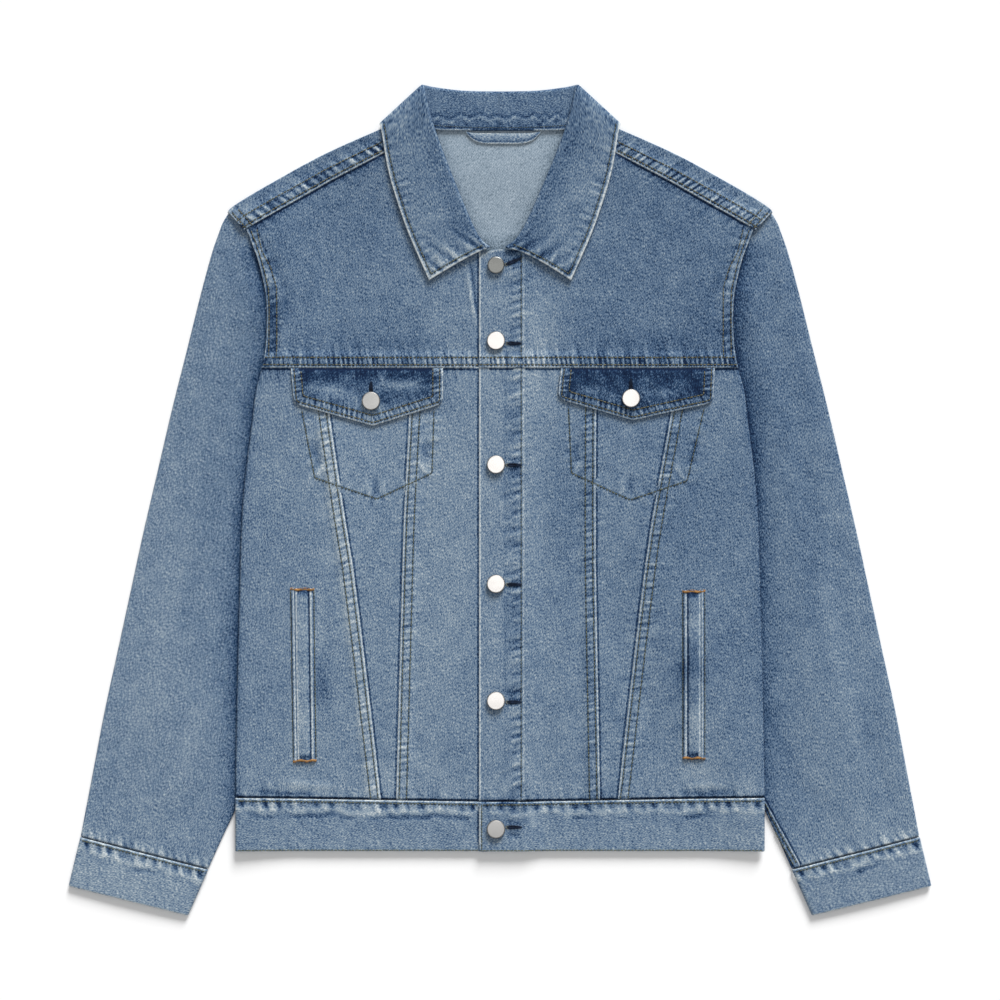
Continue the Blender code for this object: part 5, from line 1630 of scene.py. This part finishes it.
def sew_buttonholes():
    """Close stitches over a slit that opens a little toward the button, round an eye of paler thread."""
    slits, eyes = [], []
    band = ["front_yoke_left", "front_panel_left", "waistband_front_left"]
    holes = [
        (BUTTON_X + 10.6, y + shift, 1.0, 0.0, 13.4, band) for y, shift in zip(BUTTON_ROWS, HOLE_SHIFTS)
    ]
    holes[0] = (BUTTON_X + 9.6, BUTTON_ROWS[0] + 0.8, 0.92, 0.39, 15.0, band)  # pulled up under the collar
    for side, (x, y) in FLAP_BUTTONS.items():
        holes.append((x, y + 8.0, 0.0, 1.0, 10.5, ["flap_" + side]))
    for x, y, dx, dy, length, nodes in holes:
        count = round(length / 0.55)
        for k in range(count):
            t = (k + 0.5) / count
            at = (x + dx * length * t, y + dy * length * t)
            wide = float(np.interp(t, (0.0, 0.2, 0.5, 0.85, 1.0), (0.9, 2.0, 1.7, 1.2, 0.4)))
            wide += 0.3 * math.sin(2.3 * k)
            for way in (1, -1):
                ends = [drop_on(nodes, at[0] - way * dy * w, at[1] + way * dx * w) for w in (-0.2, wide)]
                if all(ends):
                    lay_stitch(slits, ends, UP, 0.8, -0.1)
        for k in range(9):
            turn = math.radians(50 + 32.5 * k) + math.atan2(dy, dx)
            ends = [drop_on(nodes, x + r * math.cos(turn), y + r * math.sin(turn)) for r in (0.6, 1.8)]
            if all(ends):
                lay_stitch(eyes, ends, UP, 0.5, -0.3)
    thread_piece("buttonholes", slits, navy_thread)
    thread_piece("buttonhole_eyes", eyes, eye_thread)


# ---------------------------------------------------------------- buttons


def button_master():
    """A pressed cap with a rolled rim and a faint step inside it, on a short shank."""
    bpy.ops.object.select_all(action="DESELECT")
    bpy.ops.mesh.primitive_cylinder_add(
        vertices=48, radius=8.5, depth=1.6, location=(0.0, 0.0, 1.9), calc_uvs=False
    )
    cap = bpy.context.object
    bpy.ops.object.transform_apply(location=True, rotation=True, scale=True)

    def pick(test):
        bpy.ops.object.mode_set(mode="EDIT")
        bpy.ops.mesh.select_mode(type="FACE")
        bpy.ops.mesh.select_all(action="DESELECT")
        bpy.ops.object.mode_set(mode="OBJECT")
        for polygon in cap.data.polygons:
            polygon.select = test(polygon)
        bpy.ops.object.mode_set(mode="EDIT")

    def inset(steps):
        for thickness, lift in steps:
            bpy.ops.mesh.inset(thickness=thickness)
            bpy.ops.transform.translate(value=(0.0, 0.0, lift))

    pick(lambda f: f.normal.z > 0.9)
    inset(((0.3, 0.4), (0.45, 0.2), (0.6, 0.06), (0.25, 0.0), (1.2, 0.06), (2.2, 0.08), (2.0, 0.05)))
    bpy.ops.object.mode_set(mode="OBJECT")
    pick(lambda f: f.normal.z < -0.9)
    inset(((0.4, -0.35), (0.6, -0.05), (3.2, 0.25)))
    bpy.ops.mesh.extrude_region_move(TRANSFORM_OT_translate={"value": (0.0, 0.0, -0.93)})
    bpy.ops.object.mode_set(mode="OBJECT")
    bevel = cap.modifiers.new("rounding", "BEVEL")
    bevel.width = 0.18
    bevel.segments = 2
    bevel.limit_method = "ANGLE"
    bpy.ops.object.modifier_apply(modifier="rounding")
    bpy.ops.object.shade_smooth_by_angle(angle=math.radians(50))
    return cap


def make_buttons():
    master = button_master()
    low = min(v.co.z for v in master.data.vertices)
    spots = {"button_" + str(k): (BUTTON_X, y) for k, y in enumerate(BUTTON_ROWS, 1)}
    spots.update({"flap_button_" + side: spot for side, spot in FLAP_BUTTONS.items()})
    for node, (x, y) in spots.items():
        mesh = master.data.copy()
        mesh.name = node + "_cap"
        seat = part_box(node)[0].z
        size = 0.92 if node == "button_1" else 1.0
        for vertex in mesh.vertices:
            vx, vy, vz = vertex.co
            vertex.co = ((vx * size + x) * MM, (vy * size + y) * MM, (vz - low) * MM + seat)
        mesh.materials.append(SHADED_CAPS.get(node, satin))
        mesh.materials.append(rim)
        for polygon in mesh.polygons:
            from_middle = math.hypot(polygon.center.x / MM - x, polygon.center.y / MM - y)
            # the outer ring and the sides take the rim's painted shade
            polygon.material_index = int(from_middle > 7.9 or polygon.normal.z < 0.3)
        worn_piece(node + "_cap", mesh, node)
    bpy.data.objects.remove(master)


def make_everything():
    for side in SIGN:
        make_front_yoke(side)
        make_fronts(side)
        make_waistband(side)
        make_sleeve(side)
        make_cuff(side)
        make_flap(side)
        make_welt(side)
    make_back()
    make_back_yoke()
    make_collar()
    make_hanger_loop()
    sew_body()
    sew_collar()
    sew_buttonholes()
    sew_back()
    make_buttons()


def bow_waist_seam():
    """The waistband's seam hangs a little in the middle, and takes the cloth and stitches along."""
    bowed = ("front_panel", "front_insert", "side_front", "waistband_front")
    names = [part + "_" + side + "_cloth" for part in bowed for side in SIGN]
    names += ["olive_stitching_left", "olive_stitching_right", "buttonholes", "buttonhole_eyes"]
    for piece in bpy.data.objects:
        if piece.name in names:
            points = np.empty(3 * len(piece.data.vertices))
            piece.data.vertices.foreach_get("co", points)
            x, y = points[0::3] / MM, points[1::3] / MM
            near = np.interp(y, (HEM, WAIST_TOP, WAIST_TOP + 90.0), (0.0, 1.0, 0.0)) * (np.abs(x) < 250.0)
            points[1::3] += 0.0187 * (np.hypot(x, 30.0) - 92.0) * near * MM
            piece.data.vertices.foreach_set("co", points)
            piece.data.update()


make_everything()
bow_waist_seam()

# ---------------------------------------------------------------- studio

bpy.ops.mesh.primitive_plane_add(size=6.0, location=(0.0, 0.0, -0.0003))
floor = bpy.context.object
floor.name = "floor"
material, tree, shader = start_material("white_card")
put(tree, shader, {"Base Color": linear("fbfbfb"), "Roughness": 0.9})
floor.data.materials.append(material)

world = bpy.data.worlds.new("studio")
bpy.context.scene.world = world
world.use_nodes = True
put(world.node_tree, world.node_tree.nodes["Background"], {"Color": (1.0, 1.0, 1.0, 1.0), "Strength": 0.33})

key = bpy.data.lights.new("key", "SUN")
key.energy = 4.34
key.angle = math.radians(26)
stand("key", key).rotation_euler = Vector((-0.28, -1.0, -0.5)).to_track_quat("-Z", "Y").to_euler()

softbox = bpy.data.lights.new("overhead", "AREA")
softbox.shape = "DISK"
softbox.size = 2.2
softbox.energy = 13.0
stand("overhead", softbox, (0.0, 0.0, 2.8))

camera = bpy.data.cameras.new("camera")
camera.lens = 85.0
camera.sensor_width = 36.0
bpy.context.scene.camera = stand("camera", camera, (0.0, 0.0003, 2.2))
bpy.context.scene.view_settings.view_transform = "Standard"
